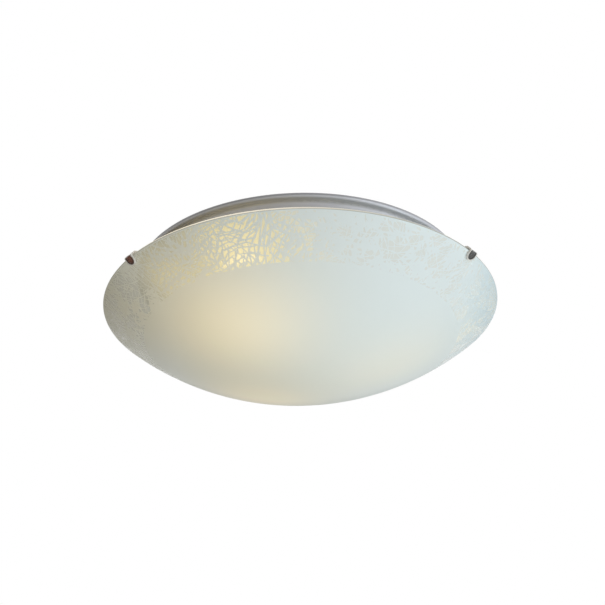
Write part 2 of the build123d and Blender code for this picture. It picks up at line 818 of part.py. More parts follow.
for name, angle in zip(lamp_names, lamp_angles):
    with BuildPart() as lamp_bulb:
        with BuildSketch(upright_plane(angle, lamp_height)) as bulb_section:
            with BuildLine():
                Line((neck_end, 0), (neck_end, bulb_neck_radius))
                FilletPolyline(
                    (neck_end, bulb_neck_radius),
                    neck_corner,
                    shoulder_point,
                    radius=bulb_neck_bend,
                )
                CenterArc((bulb_centre, 0), bulb_radius, 0, bulb_shoulder)
                Line((neck_end, 0), (lamp_tip, 0))
            make_face()
        revolve(axis=lamp_axis(angle))
        neck_face = lamp_bulb.faces().sort_by(lamp_axis(angle))[0]
        offset(amount=-bulb_wall, openings=neck_face)
    lamp_bulb.part.label = f"lamp_bulb_{name}"
    export_step(lamp_bulb.part, f"parts/lamp_bulb_{name}.step")

    with BuildPart() as lamp_cap:
        with BuildSketch(upright_plane(angle, lamp_height)):
            with BuildLine():
                Polyline(
                    (cap_start, insulator_tip_radius),
                    (cap_start + cap_thread_pitch / 2, cap_radius),
                    (neck_end - cap_sheet, cap_radius),
                    (neck_end - cap_sheet, cap_skirt_radius),
                    (cap_end, cap_skirt_radius),
                    (cap_end, cap_skirt_radius - cap_sheet),
                    (neck_end, cap_skirt_radius - cap_sheet),
                    (neck_end, insulator_tip_radius),
                    close=True,
                )
            make_face()
            with Locations(*thread_rings):
                Circle(cap_thread_radius, mode=Mode.SUBTRACT)
        revolve(axis=lamp_axis(angle))
    lamp_cap.part.label = f"lamp_cap_{name}"
    export_step(lamp_cap.part, f"parts/lamp_cap_{name}.step")

    with BuildPart() as lamp_insulator:
        with BuildSketch(upright_plane(angle, lamp_height)):
            with BuildLine():
                Polyline(
                    (contact_face, 0),
                    (contact_face, lamp_contact_radius),
                    (cap_start, insulator_tip_radius + insulator_length / 2),
                    (cap_start, 0),
                    close=True,
                )
            make_face()
        revolve(axis=lamp_axis(angle))
    lamp_insulator.part.label = f"lamp_insulator_{name}"
    export_step(lamp_insulator.part, f"parts/lamp_insulator_{name}.step")

    with BuildPart() as lamp_contact:
        with BuildSketch(facing_plane(angle, contact_face, lamp_height)):
            Circle(lamp_contact_radius)
        extrude(amount=-lamp_contact_length)
        fillet(
            lamp_contact.edges().sort_by(lamp_axis(angle))[0], radius=lamp_contact_length / 2
        )
    lamp_contact.part.label = f"lamp_contact_{name}"
    export_step(lamp_contact.part, f"parts/lamp_contact_{name}.step")

# -------------------------------------------------------------- glass clips

rim_out = Vector(sin(radians(glass_rim_angle)), -cos(radians(glass_rim_angle)))
rim_down = Vector(-cos(radians(glass_rim_angle)), -sin(radians(glass_rim_angle)))
cover_half = clip_sheet / 2 + snug_fit + cover_wall
rim_corner = Vector(glass_radius, glass_rim_height)
hook_offset = glass_gap + cover_half
hook_corner = rim_corner + (rim_out - rim_down) * hook_offset
hook_lead = rim_corner - rim_out * glass_thickness - rim_down * hook_offset
hook_fall = (clip_height - hook_lead.Y) / (hook_lead.X - clip_slope_start)
hook_turn = radians(90) - radians(glass_rim_angle) - atan(hook_fall)
hook_top = hook_lead - rim_out * hook_offset * tan(hook_turn / 2)
tab_end = hook_corner + rim_down * clip_tab_length

lug_centre = clip_tail_end + clip_sheet / 2
slope_start = Vector(clip_slope_start, clip_height)
clip_route = [
    Vector(lug_centre, clip_height - clip_lug),
    Vector(lug_centre, clip_height),
    slope_start,
    hook_top,
    hook_corner,
    tab_end,
]
clip_bends = [clip_lug_bend, clip_slope_bend, clip_hook_bend, clip_hook_bend]


def hook_strip(angle, route, bends, thickness, width):
    """A bent strip with a rounded tip, its route drawn in the upright plane at an angle."""
    tip_direction = outward(angle) * rim_out.X + Vector(0, 0, rim_out.Y)
    with BuildPart() as strip:
        with BuildSketch(upright_plane(angle)):
            with BuildLine():
                FilletPolyline(*[(point.X, point.Y) for point in route], radius=bends)
            trace(line_width=thickness)
        extrude(amount=width / 2, both=True)
        tip_edges = strip.edges().filter_by(Axis((0, 0, 0), tip_direction)).group_by(Axis.Z)[0]
        fillet(tip_edges, radius=width / 2 * clip_tip_share)
    return strip.part


shoulder = guide_inner + guide_sheet + clip_shoulder_gap
tail_length = shoulder - clip_tail_end
tail_trim = (clip_width - clip_tail_width) / 2
washer_start = lug_centre + clip_lug_bend + snug_fit
washer_end = washer_start + clip_washer
spring_start = washer_end + spring_gap + spring_wire_radius
spring_end = guide_inner - spring_gap - spring_wire_radius
spring_pitch = (spring_end - spring_start) / spring_turns

for name, angle in zip(clip_names, clip_angles):
    arm_strip = hook_strip(angle, clip_route, clip_bends, clip_sheet, clip_width)
    with BuildPart() as clip_arm:
        add(arm_strip)
        with BuildSketch(level_plane(angle, clip_tail_end + tail_length / 2, clip_height)):
            with Locations((0, (clip_width - tail_trim) / 2), (0, -(clip_width - tail_trim) / 2)):
                Rectangle(tail_length, tail_trim)
        extrude(amount=2 * clip_lug, both=True, mode=Mode.SUBTRACT)
    clip_arm.part.label = f"clip_arm_{name}"
    export_step(clip_arm.part, f"parts/clip_arm_{name}.step")

    cover_start = hook_top + (slope_start - hook_top).normalized() * cover_reach
    bore_start = cover_start + (slope_start - hook_top).normalized() * snug_fit
    bore_tip = tab_end + rim_down * snug_fit
    cover_tip = bore_tip + rim_down * cover_border
    cover_shell = hook_strip(
        angle,
        [cover_start, hook_top, hook_corner, cover_tip],
        clip_hook_bend,
        2 * cover_half,
        clip_width + 2 * (snug_fit + cover_border),
    )
    cover_bore = hook_strip(
        angle,
        [bore_start, hook_top, hook_corner, bore_tip],
        clip_hook_bend,
        clip_sheet + 2 * snug_fit,
        clip_width + 2 * snug_fit,
    )
    with BuildPart() as clip_cover:
        add(cover_shell)
        add(cover_bore, mode=Mode.SUBTRACT)
    clip_cover.part.label = f"clip_cover_{name}"
    export_step(clip_cover.part, f"parts/clip_cover_{name}.step")

    with BuildPart() as clip_washer_disc:
        with BuildSketch(facing_plane(angle, washer_start, clip_height)):
            Circle(clip_washer_radius)
            Rectangle(
                clip_tail_width + guide_clearance,
                clip_sheet + guide_clearance,
                mode=Mode.SUBTRACT,
            )
        extrude(amount=clip_washer)
    clip_washer_disc.part.label = f"clip_washer_{name}"
    export_step(clip_washer_disc.part, f"parts/clip_washer_{name}.step")

    with BuildPart() as clip_guide:
        with BuildSketch(upright_plane(angle)):
            with BuildLine():
                FilletPolyline(
                    (guide_inner + guide_sheet / 2, plate_under - guide_depth),
                    (guide_inner + guide_sheet / 2, plate_under - guide_sheet / 2),
                    (guide_outer - guide_sheet / 2, plate_under - guide_sheet / 2),
                    (guide_outer - guide_sheet / 2, plate_under - guide_depth),
                    radius=guide_bend,
                )
            trace(line_width=guide_sheet)
        extrude(amount=guide_width / 2, both=True)
        with BuildSketch(level_plane(angle, guide_inner + guide_length / 2, plate_under)):
            Rectangle(guide_length - 2 * guide_bend, guide_base_width)
        extrude(amount=-guide_sheet)
        with BuildSketch(level_plane(angle, guide_inner + guide_length / 2, plate_under)):
            with Locations((0, guide_rivet_spacing / 2), (0, -guide_rivet_spacing / 2)):
                Circle(rivet_radius + hole_clearance)
        extrude(amount=-guide_sheet, mode=Mode.SUBTRACT)
        with BuildSketch(facing_plane(angle, guide_inner, clip_height)):
            Rectangle(clip_tail_width + 2 * guide_clearance, clip_sheet + 2 * guide_clearance)
        extrude(amount=guide_length / 2, mode=Mode.SUBTRACT)
        with BuildSketch(facing_plane(angle, guide_outer, clip_height)):
            Rectangle(clip_width + 2 * guide_clearance, clip_sheet + 2 * guide_clearance)
        extrude(amount=-guide_length / 2, mode=Mode.SUBTRACT)
    clip_guide.part.label = f"clip_guide_{name}"
    export_step(clip_guide.part, f"parts/clip_guide_{name}.step")

    with BuildPart() as clip_spring:
        with BuildLine() as coil:
            quarter_rise = spring_pitch / 4
            lead = atan(spring_pitch / (2 * pi * spring_radius))
            for quarter in range(4 * spring_turns):
                ends = []
                for turned in (quarter, quarter + 1):
                    swing = radians(90 * turned)
                    ends.append(
                        place(
                            angle,
                            spring_start + quarter_rise * turned,
                            spring_radius * cos(swing),
                            clip_height + spring_radius * sin(swing),
                        )
                    )
                swing = radians(90 * quarter)
                heading = outward(angle) * sin(lead) + cos(lead) * (
                    outward(angle + 90) * -sin(swing) + Vector(0, 0, cos(swing))
                )
                on_axis = place(angle, spring_start + quarter_rise * (quarter + 0.5), 0, clip_height)
                joint = arc_joint(ends[0], ends[1], heading, on_axis)
                first_arc = TangentArc(ends[0], joint, tangent=heading)
                TangentArc(joint, ends[1], tangent=first_arc % 1)
        with BuildSketch(Plane(origin=coil.line @ 0, z_dir=coil.line % 0)):
            Circle(spring_wire_radius)
        sweep(path=coil.line)
    clip_spring.part.label = f"clip_spring_{name}"
    export_step(clip_spring.part, f"parts/clip_spring_{name}.step")

with BuildPart() as guide_rivets:
    guide_seat = plate_under - guide_sheet
    with BuildSketch(Plane.XY.offset(guide_seat)):
        with Locations(*guide_rivet_points):
            Circle(rivet_radius)
    extrude(amount=guide_sheet + sheet)
    with BuildSketch(Plane.XY.offset(guide_seat)):
        with Locations(*guide_rivet_points):
            Circle(rivet_head_radius)
    extrude(amount=-rivet_head)
    with BuildSketch(Plane.XY.offset(plate_top)):
        with Locations(*guide_rivet_points):
            Circle(rivet_tail_radius)
    extrude(amount=rivet_tail)
    rivet_ends = guide_rivets.edges().group_by(Axis.Z)
    fillet([rivet_ends[0], rivet_ends[-1]], radius=rivet_head / 2)
guide_rivets.part.label = "guide_rivets"
export_step(guide_rivets.part, "parts/guide_rivets.step")

print("spring pitch", round(spring_pitch, 2), "gap", round(spring_pitch - 2 * spring_wire_radius, 2))
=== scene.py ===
"""A flush mount ceiling light, dressed over its CAD model.

An opal glass bowl with a scribbled band hangs in three sprung clips under a painted steel
canopy, which carries three screw-in lamps. Lengths are in metres, in the CAD model's frame:
the ceiling is the plane z = 0 and the near side of the light is -Y.
"""

import json
import math

import bmesh
import bpy
from bpy.props import FloatProperty, FloatVectorProperty, IntProperty, PointerProperty
from bpy.types import Operator, Panel, PropertyGroup
from mathutils import Matrix, Vector


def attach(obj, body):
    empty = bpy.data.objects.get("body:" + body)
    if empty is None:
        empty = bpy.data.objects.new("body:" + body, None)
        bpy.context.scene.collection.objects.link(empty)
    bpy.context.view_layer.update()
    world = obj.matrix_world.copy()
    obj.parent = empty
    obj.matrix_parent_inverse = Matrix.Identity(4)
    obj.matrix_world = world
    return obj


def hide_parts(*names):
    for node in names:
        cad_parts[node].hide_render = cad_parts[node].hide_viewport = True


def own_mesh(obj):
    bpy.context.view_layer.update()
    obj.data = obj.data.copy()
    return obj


bl_info = {
    "name": "Flush mount ceiling light",
    "version": (1, 0, 0),
    "blender": (4, 5, 0),
    "location": "3D View > Sidebar > Ceiling light",
    "description": "Gives the CAD model of a flush mount ceiling light its pieces and finishes",
    "category": "Object",
}

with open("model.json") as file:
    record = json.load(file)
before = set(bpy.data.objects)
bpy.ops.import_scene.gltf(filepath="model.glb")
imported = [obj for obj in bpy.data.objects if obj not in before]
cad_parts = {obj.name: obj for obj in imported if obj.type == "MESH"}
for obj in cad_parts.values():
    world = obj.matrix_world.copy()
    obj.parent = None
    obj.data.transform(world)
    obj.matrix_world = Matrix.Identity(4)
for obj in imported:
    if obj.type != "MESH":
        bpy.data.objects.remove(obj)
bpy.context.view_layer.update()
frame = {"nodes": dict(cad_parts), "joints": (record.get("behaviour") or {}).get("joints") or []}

JOINTS = {joint["name"]: joint for joint in frame["joints"]}
LAMP_NAMES = ("right", "rear", "left")
CLIP_NAMES = ("rear", "left", "right")
LAMP_AXES = {name: Vector(JOINTS[f"lamp_{name}_out"]["axis"]) for name in LAMP_NAMES}
CLIP_AXES = {name: Vector(JOINTS[f"clip_{name}_pull"]["axis"]) for name in CLIP_NAMES}
UP = Vector((0, 0, 1))
MERGE_DISTANCE = 1e-6
SMOOTH_CORNER = math.radians(35)
SHARP_CORNER = math.radians(60)
FLOOR_HALF = 6.0

# Steps of the sections and sides of the turned bodies
EDGE_STEPS = 4
BOWL_STEPS = 72
BOWL_SIDES = 224
BULB_STEPS = 36
BEND_STEPS = 8
LAMP_SIDES = 64
THREAD_STEPS = 6
THREAD_SIDES = 48
WIRE_SIDES = 12
COIL_SIDES = 28


# ------------------------------------------------------------------- properties


def length(name, description, default):
    return FloatProperty(
        name=name, description=description, default=default, min=0.0, unit="LENGTH", precision=5
    )


def height(name, description, default):
    return FloatProperty(
        name=name, description=description, default=default, unit="LENGTH", precision=5
    )


def share(name, description, default):
    return FloatProperty(
        name=name, description=description, default=default, min=0.0, max=1.0, subtype="FACTOR"
    )


def colour(name, description, default):
    return FloatVectorProperty(
        name=name, description=description, default=default, min=0.0, max=4.0, subtype="COLOR"
    )


class BowlSettings(PropertyGroup):
    rim_radius: length("Rim radius", "Radius of the glass at its rim", 0.2)
    depth: length("Depth", "Depth of the glass below its rim", 0.0758)
    wall: length("Wall", "Thickness of the glass", 0.004)
    rim_height: height("Rim height", "Height of the rim, below the ceiling", -0.039)
    edge_round: length("Edge round", "Radius of the ground edge", 0.0011)
    band_start: length("Band start", "Radius at which the scribbled band begins", 0.1575)
    stroke: length("Stroke", "Width of a printed stroke", 0.0010)
    opal_colour: colour("Opal", "Colour of the opal glass", (0.83, 0.90, 0.93))
    warm_colour: colour("Warmed opal", "Colour where a lamp shines through", (0.82, 0.78, 0.62))
    # The clear cells' colours carry painted light: painted shade on one side, lamp light near a
    # lamp.
    window_colour: colour("Windows", "Colour of the clear cells", (0.845, 0.87, 0.85))
    shaded_window: colour("Shaded windows", "Their colour on the darker side", (0.60, 0.61, 0.54))
    lit_window: colour("Lit windows", "Their colour where a lamp is near", (0.72, 0.66, 0.42))
    window_cover: share("Window cover", "How much of what is behind a clear cell it hides", 0.93)
    gold_colour: colour("Gold", "Colour of the lamp light in the clear cells", (1.0, 0.80, 0.38))
    glow_colour: colour("Glow", "Colour of the light through the opal glass", (1.0, 0.74, 0.36))
    inner_colour: colour("Inner light", "Colour of the light all through it", (0.76, 0.92, 1.0))
    edge_colour: colour("Lit edge", "Colour of the light along the edge", (1.0, 0.88, 0.66))
    rim_colour: colour("Rim", "Colour of the ground edge", (0.60, 0.61, 0.58))
    # Painted shade and light on the opal glass: darker at its sides and back, cooler on its right.
    left_painted_shade: colour("Left tint", "Tint of the opal glass towards its left", (0.88, 0.84, 0.75))
    right_painted_cool_light: colour("Right tint", "Tint of the opal glass to the right", (0.92, 0.97, 0.99))
    far_left_painted_shade: colour("Side tint", "Tint of the glass at its far left", (0.78, 0.76, 0.72))
    far_right_painted_shade: colour("End tint", "Tint of the glass at its far right", (0.81, 0.84, 0.87))
    back_painted_shade: colour("Back tint", "Tint of the glass towards its back", (0.80, 0.79, 0.76))


class CanopySettings(PropertyGroup):
    # The paint's colour is set bright to make up for its painted shade, and cool as painted
    # reflected light.
    lit_paint_colour: colour("Paint", "Colour of the canopy's paint", (0.68, 0.69, 0.76))
    paint_roughness: share("Roughness", "Roughness of the paint", 0.48)
    stud_pitch: length("Stud pitch", "Pitch of the studs' thread", 0.0007)
    stud_top: height("Stud top", "Height at which the studs' thread begins", -0.003)
    stud_end: height("Stud end", "Height at which the studs' thread ends", -0.0235)


class LampSettings(PropertyGroup):
    axis_height: height("Axis height", "Height of the lamps' axes", -0.052)
    tip: length("Tip", "Distance of a bulb's tip from the middle", 0.13)
    bulb_radius: length("Bulb radius", "Largest radius of a bulb", 0.0275)
    shoulder: FloatProperty(
        name="Shoulder", description="Angle over which a bulb is round",
        default=math.radians(118), subtype="ANGLE",
    )
    neck_radius: length("Neck radius", "Radius of a bulb's neck", 0.0136)
    neck_bend: length("Neck bend", "Radius of the bend into the neck", 0.02)
    neck_end: length("Neck end", "Distance of the neck's end from the middle", 0.055)
    cap_start: length("Cap start", "Distance of the cap's start from the middle", 0.0376)
    cap_end: length("Cap end", "Distance of the cap's end from the middle", 0.059)
    cap_nose: length("Cap nose", "Radius of the cap beside the insulator", 0.0065)
    cap_root: length("Thread root", "Radius of the cap between its threads", 0.0119)
    cap_crest: length("Thread crest", "Radius of the cap over its threads", 0.0129)
    cap_skirt: length("Cap skirt", "Radius of the cap's skirt", 0.0142)
    thread_pitch: length("Thread pitch", "Pitch of the cap's thread", 0.003629)
    thread_turns: FloatProperty(
        name="Thread turns", description="Turns of the cap's thread", default=3.25, min=0.5
    )
    light_colour: colour("Light", "Colour and strength of a lit bulb", (1.75, 1.42, 0.86))
    glass_colour: colour("Glass", "Colour of a bulb's coated glass", (0.94, 0.91, 0.84))


class ClipSettings(PropertyGroup):
    axis_height: height("Axis height", "Height of the clips' springs", -0.0245)
    spring_start: length("Spring start", "Distance of the spring's start from the middle", 0.10705)
    spring_end: length("Spring end", "Distance of the spring's end from the middle", 0.1352)
    spring_radius: length("Spring radius", "Radius of the coil at the middle of its wire", 0.0036)
    wire_radius: length("Wire radius", "Radius of the spring's wire", 0.0005)
    spring_turns: IntProperty(name="Turns", description="Turns of the spring", default=10, min=1)
    guide_leg: length("Guide leg", "Distance of the guide's inner leg from the middle", 0.136)
    tab_half: length("Tab half width", "Half the width of a clip's tab", 0.00475)
    tab_centre: height("Tab centre", "Middle of a tab's round tip, down the glass", -0.12141)


class StageSettings(PropertyGroup):
    focal_length: FloatProperty(
        name="Focal length", description="Focal length of the camera in millimetres",
        default=86.79, min=1.0,
    )
    distance: length("Distance", "Distance of the camera from the rim's middle", 1.4868)
    elevation: FloatProperty(
        name="Elevation", description="Angle at which the camera looks up",
        default=math.radians(27.82), subtype="ANGLE",
    )
    roll: FloatProperty(
        name="Roll", description="Angle by which the camera leans", default=math.radians(-1.302),
        subtype="ANGLE",
    )
    shift_x: FloatProperty(name="Shift across", description="Sideways shift", default=0.0033)
    shift_y: FloatProperty(name="Shift up", description="Upward shift", default=0.0142)
    aim_height: height("Aim height", "Height at which the camera is aimed", -0.038)
    floor_height: height("Floor height", "Height of the floor, below the ceiling", -1.9)
    floor_colour: colour("Floor", "Colour of the floor", (0.93, 0.93, 0.92))
    floor_lift: colour("Floor lift", "What is added to the floor in view", (0.42, 0.42, 0.43))
    room_colour: colour("Room", "Light of the room from all around", (0.355, 0.345, 0.31))


class CeilingLightSettings(PropertyGroup):
    bowl: PointerProperty(type=BowlSettings)
    canopy: PointerProperty(type=CanopySettings)
    lamps: PointerProperty(type=LampSettings)
    clips: PointerProperty(type=ClipSettings)
    stage: PointerProperty(type=StageSettings)


# ------------------------------------------------------------------ shader maths


class Signal:
    """A number that varies over a surface. Arithmetic on it adds Math nodes."""

    def __init__(self, graph, socket):
        self.graph = graph
        self.socket = socket

    def __add__(self, other):
        return self.graph.maths("ADD", self, other)

    __radd__ = __add__

    def __sub__(self, other):
        return self.graph.maths("SUBTRACT", self, other)

    def __rsub__(self, other):
        return self.graph.maths("SUBTRACT", other, self)

    def __mul__(self, other):
        return self.graph.maths("MULTIPLY", self, other)

    __rmul__ = __mul__

    def __truediv__(self, other):
        return self.graph.maths("DIVIDE", self, other)

    def __abs__(self):
        return self.graph.maths("ABSOLUTE", self)


class Graph:
    """The nodes of one material or world."""

    def __init__(self, owner):
        owner.use_nodes = True
        self.tree = owner.node_tree
        self.tree.nodes.clear()

    def node(self, kind, settings=None, inputs=None):
        """A node of any kind: its settings first, then the values or links of its sockets."""
        made = self.tree.nodes.new(kind)
        for name, value in (settings or {}).items():
            if name == "stops":
                self._set_stops(made.color_ramp, value)
            else:
                setattr(made, name, value)
        for name, value in (inputs or {}).items():
            if isinstance(value, Signal):
                value = value.socket
            if isinstance(value, bpy.types.NodeSocket):
                self.tree.links.new(value, made.inputs[name])
            else:
                made.inputs[name].default_value = value
        return made

    def _set_stops(self, ramp, stops):
        ramp.elements[0].position, ramp.elements[0].color = stops[0]
        ramp.elements[1].position, ramp.elements[1].color = stops[-1]
        for position, shade in stops[1:-1]:
            ramp.elements.new(position).color = shade

    def maths(self, operation, *values):
        made = self.node("ShaderNodeMath", {"operation": operation}, dict(enumerate(values)))
        return Signal(self, made.outputs[0])

    def sqrt(self, value):
        return self.maths("SQRT", value)

    def largest(self, *values):
        result = values[0]
        for value in values[1:]:
            result = self.maths("MAXIMUM", result, value)
        return result

    def step(self, value, low, high):
        """Rises smoothly from 0 to 1 as the value goes from low to high."""
        made = self.node(
            "ShaderNodeMapRange",
            {"interpolation_type": "SMOOTHSTEP"},
            {"Value": value, "From Min": low, "From Max": high},
        )
        return Signal(self, made.outputs["Result"])

    def place(self):
        """The place on the object, in metres."""
        return self.node("ShaderNodeTexCoord").outputs["Object"]

    def parts(self, vector):
        made = self.node("ShaderNodeSeparateXYZ", inputs={"Vector": vector})
        return [Signal(self, socket) for socket in made.outputs]

    def vector(self, x=0.0, y=0.0, z=0.0):
        made = self.node("ShaderNodeCombineXYZ", inputs={"X": x, "Y": y, "Z": z})
        return made.outputs["Vector"]

    def vector_maths(self, operation, first, second):
        made = self.node("ShaderNodeVectorMath", {"operation": operation}, {0: first, 1: second})
        return made

    def along(self, vector, way):
        """How far a place lies along a direction."""
        made = self.vector_maths("DOT_PRODUCT", vector, tuple(way))
        return Signal(self, made.outputs["Value"])

    def stretched(self, vector, scales):
        made = self.node("ShaderNodeMapping", inputs={"Vector": vector, "Scale": scales})
        return made.outputs["Vector"]

    def noise(self, vector, scale, detail=2.0):
        made = self.node(
            "ShaderNodeTexNoise", inputs={"Vector": vector, "Scale": scale, "Detail": detail}
        )
        return Signal(self, made.outputs["Fac"])

    def mix(self, amount, first, second):
        """One colour turns into another as the amount goes from 0 to 1."""
        made = self.node(
            "ShaderNodeMix", {"data_type": "RGBA"}, {"Factor": amount, 6: first, 7: second}
        )
        return made.outputs[2]

    def tinted(self, amount, shade, tint):
        """A colour takes on a tint as the amount goes from 0 to 1."""
        made = self.node(
            "ShaderNodeMix", {"data_type": "RGBA", "blend_type": "MULTIPLY"},
            {"Factor": amount, 6: shade, 7: tint},
        )
        return made.outputs[2]

    def scaled(self, vector, amount):
        """A vector, or a colour of three channels, times an amount."""
        if not isinstance(vector, bpy.types.NodeSocket):
            vector = tuple(vector)
        made = self.node(
            "ShaderNodeVectorMath", {"operation": "SCALE"}, {0: vector, "Scale": amount}
        )
        return made.outputs["Vector"]

    def sum_of(self, first, second):
        return self.vector_maths("ADD", first, second).outputs["Vector"]

    def bump(self, relief, depth, strength=1.0):
        made = self.node(
            "ShaderNodeBump", inputs={"Height": relief, "Distance": depth, "Strength": strength}
        )
        return made.outputs["Normal"]

    def surface(self, **sockets):
        """The surface's shader; the names of its sockets are written with underscores."""
        named = {name.replace("_", " "): value for name, value in sockets.items()}
        shader = self.node("ShaderNodeBsdfPrincipled", inputs=named)
        self.node("ShaderNodeOutputMaterial", inputs={"Surface": shader.outputs["BSDF"]})


def rgba(shade, alpha=1.0):
    return (*shade[:3], alpha)


def darker(shade, amount):
    return rgba([channel * amount for channel in shade[:3]])


# --------------------------------------------------------------------- finishes


def plated_metal(name, shade, roughness, brush=(1.0, 1.0, 1.0)):
    """Plate or bare metal: faint clouds of tarnish, and fine marks that run one way."""
    material = bpy.data.materials.new(name)
    graph = Graph(material)
    place = graph.place()
    clouds = graph.noise(place, 70.0, 4.0)
    marks = graph.noise(graph.stretched(place, brush), 900.0, 3.0)
    specks = graph.step(graph.noise(place, 420.0, 1.0), 0.66, 0.74)
    tone = graph.mix(graph.step(clouds, 0.35, 0.65), darker(shade, 0.86), rgba(shade))
    graph.surface(
        Base_Color=graph.mix(specks * 0.35, tone, darker(shade, 0.6)),
        Metallic=1.0,
        Roughness=roughness + (clouds - 0.5) * 0.18 + (marks - 0.5) * 0.16,
        Normal=graph.bump(marks, 0.00004, 0.35),
    )
    return material


def threaded_metal(name, shade, roughness, pitch, upper, lower):
    """Plated metal with a rolled thread between two heights."""
    material = bpy.data.materials.new(name)
    graph = Graph(material)
    place = graph.place()
    z = graph.parts(place)[2]
    clouds = graph.noise(place, 90.0, 3.0)
    on_thread = graph.step(upper - z, 0.0, pitch) * graph.step(z - lower, 0.0, pitch)
    wave = graph.maths("SINE", z * (2 * math.pi / pitch)) * 0.5 + 0.5
    graph.surface(
        # Painted shade: the thread's grooves are darker than its crests.
        Base_Color=graph.mix(wave * on_thread, darker(shade, 0.7), rgba(shade)),
        Metallic=1.0,
        Roughness=roughness + (clouds - 0.5) * 0.15,
        Normal=graph.bump(wave * on_thread, 0.00035, 0.8),
    )
    return material


def moulded(name, shade, roughness, depth=0.00005, stain=0.93):
    """Moulded plastic or rubber: an even grain and a faint unevenness of tone."""
    material = bpy.data.materials.new(name)
    graph = Graph(material)
    place = graph.place()
    clouds = graph.noise(place, 45.0, 4.0)
    fine = graph.noise(place, 1400.0, 2.0)
    graph.surface(
        Base_Color=graph.mix(clouds, darker(shade, stain), rgba(shade)),
        Roughness=roughness + (clouds - 0.5) * 0.14 + (fine - 0.5) * 0.1,
        Normal=graph.bump(fine, depth, 0.5),
    )
    return material


def insulation(name, shade, stripe=None):
    """Wire insulation with a dull sheen, and where given a stripe along one side."""
    material = bpy.data.materials.new(name)
    graph = Graph(material)
    place = graph.place()
    clouds = graph.noise(place, 120.0, 3.0)
    tone = graph.mix(clouds, darker(shade, 0.8), rgba(shade))
    if stripe:
        side = graph.step(graph.parts(place)[1], -0.00015, 0.00015)
        tone = graph.mix(side, tone, rgba(stripe))
    graph.surface(
        Base_Color=tone,
        Roughness=0.42 + (clouds - 0.5) * 0.2,
        Normal=graph.bump(graph.noise(place, 1600.0, 1.0), 0.00003, 0.4),
    )
    return material


# Painted shade and highlight by height: dark on the top edge and in the groove, bright on the
# curl.
PAINT_LIGHT_AND_SHADE_TONES = (
    (-0.020, 0.87), (-0.0115, 0.88), (-0.0106, 0.93), (-0.0089, 1.0), (-0.0077, 0.98),
    (-0.0069, 0.80), (-0.0064, 0.64), (-0.0059, 0.68), (-0.0052, 0.90), (-0.0044, 1.0),
    (-0.0034, 0.60), (-0.0020, 0.50), (0.0, 0.50),
)
# Painted shade: the paint is darker and warmer towards the left, between these places.
SHADED_PAINT_SIDE = (0.09, -0.12)
PAINT_SHADE_TINT = (0.66, 0.65, 0.62, 1.0)


def satin_paint(name, shade, roughness):
    """Stoved silver grey paint: fine flake, soft orange peel, dust, painted light and shade."""
    material = bpy.data.materials.new(name)
    graph = Graph(material)
    place = graph.place()
    across, _, up = graph.parts(place)
    flake = graph.noise(place, 2600.0, 1.0)
    dust = graph.noise(place, 18.0, 5.0)
    peel = graph.noise(place, 520.0, 1.0)
    lowest = PAINT_LIGHT_AND_SHADE_TONES[0][0]
    stops = [(1 - level / lowest, rgba((tone, tone, tone))) for level, tone in PAINT_LIGHT_AND_SHADE_TONES]
    # Painted shade and highlight by height, over the curled edge and its groove.
    painted_shading = graph.node("ShaderNodeValToRGB", {"stops": stops}, {"Fac": 1 - up / lowest})
    tone = graph.mix(graph.step(dust, 0.3, 0.75), darker(shade, 0.95), rgba(shade))
    tone = graph.mix(graph.step(flake, 0.5, 0.8) * 0.35, tone, darker(shade, 1.12))
    tone = graph.tinted(1.0, tone, painted_shading.outputs["Color"])
    graph.surface(
        # Painted shade towards the left.
        Base_Color=graph.tinted(graph.step(across, *SHADED_PAINT_SIDE), tone, PAINT_SHADE_TINT),
        Metallic=0.2,
        Roughness=roughness + (dust - 0.5) * 0.1 + (flake - 0.5) * 0.08,
        Coat_Weight=0.3,
        Coat_Roughness=0.22,
        Normal=graph.bump(peel, 0.00006, 0.3),
    )
    return material


def glazed(name, shade, speck_shade):
    """Glazed porcelain: a clear coat that pools a little, with a few dark specks."""
    material = bpy.data.materials.new(name)
    graph = Graph(material)
    place = graph.place()
    pool = graph.noise(place, 60.0, 3.0)
    specks = graph.step(graph.noise(place, 700.0, 0.0), 0.73, 0.77)
    tone = graph.mix(pool, darker(shade, 0.94), rgba(shade))
    graph.surface(
        Base_Color=graph.mix(specks, tone, rgba(speck_shade)),
        Roughness=0.22 + (pool - 0.5) * 0.12,
        Coat_Weight=0.6,
        Coat_Roughness=0.06,
        Normal=graph.bump(pool, 0.0003, 0.4),
    )
    return material


def off_tab_centre(graph, place, clips, axis, rim_lean):
    """Distance from the middle line of a clip's tab, which ends in a half circle."""
    sideways = UP.cross(axis)
    down = -axis * math.sqrt(1 - rim_lean**2) - UP * rim_lean
    side = graph.along(place, sideways)
    past = graph.largest(graph.along(place, down) - clips.tab_centre, 0.0)
    return graph.sqrt(side * side + past * past)


def clear_vinyl(name, shade, cover, clips, axis, rim_lean):
    """A thin clear tube, a little cloudy, and milky along its sealed border."""
    material = bpy.data.materials.new(name)
    graph = Graph(material)
    place = graph.place()
    clouds = graph.noise(place, 380.0, 3.0)
    off_centre = off_tab_centre(graph, place, clips, axis, rim_lean)
    border = graph.step(off_centre, clips.tab_half, clips.tab_half + 0.0002)
    graph.surface(
        Base_Color=graph.mix(clouds, darker(shade, 0.94), rgba(shade)),
        Roughness=0.3 + clouds * 0.2,
        Alpha=cover + clouds * 0.02 + border * 0.85,
        Normal=graph.bump(clouds, 0.00008, 0.4),
    )
    return material


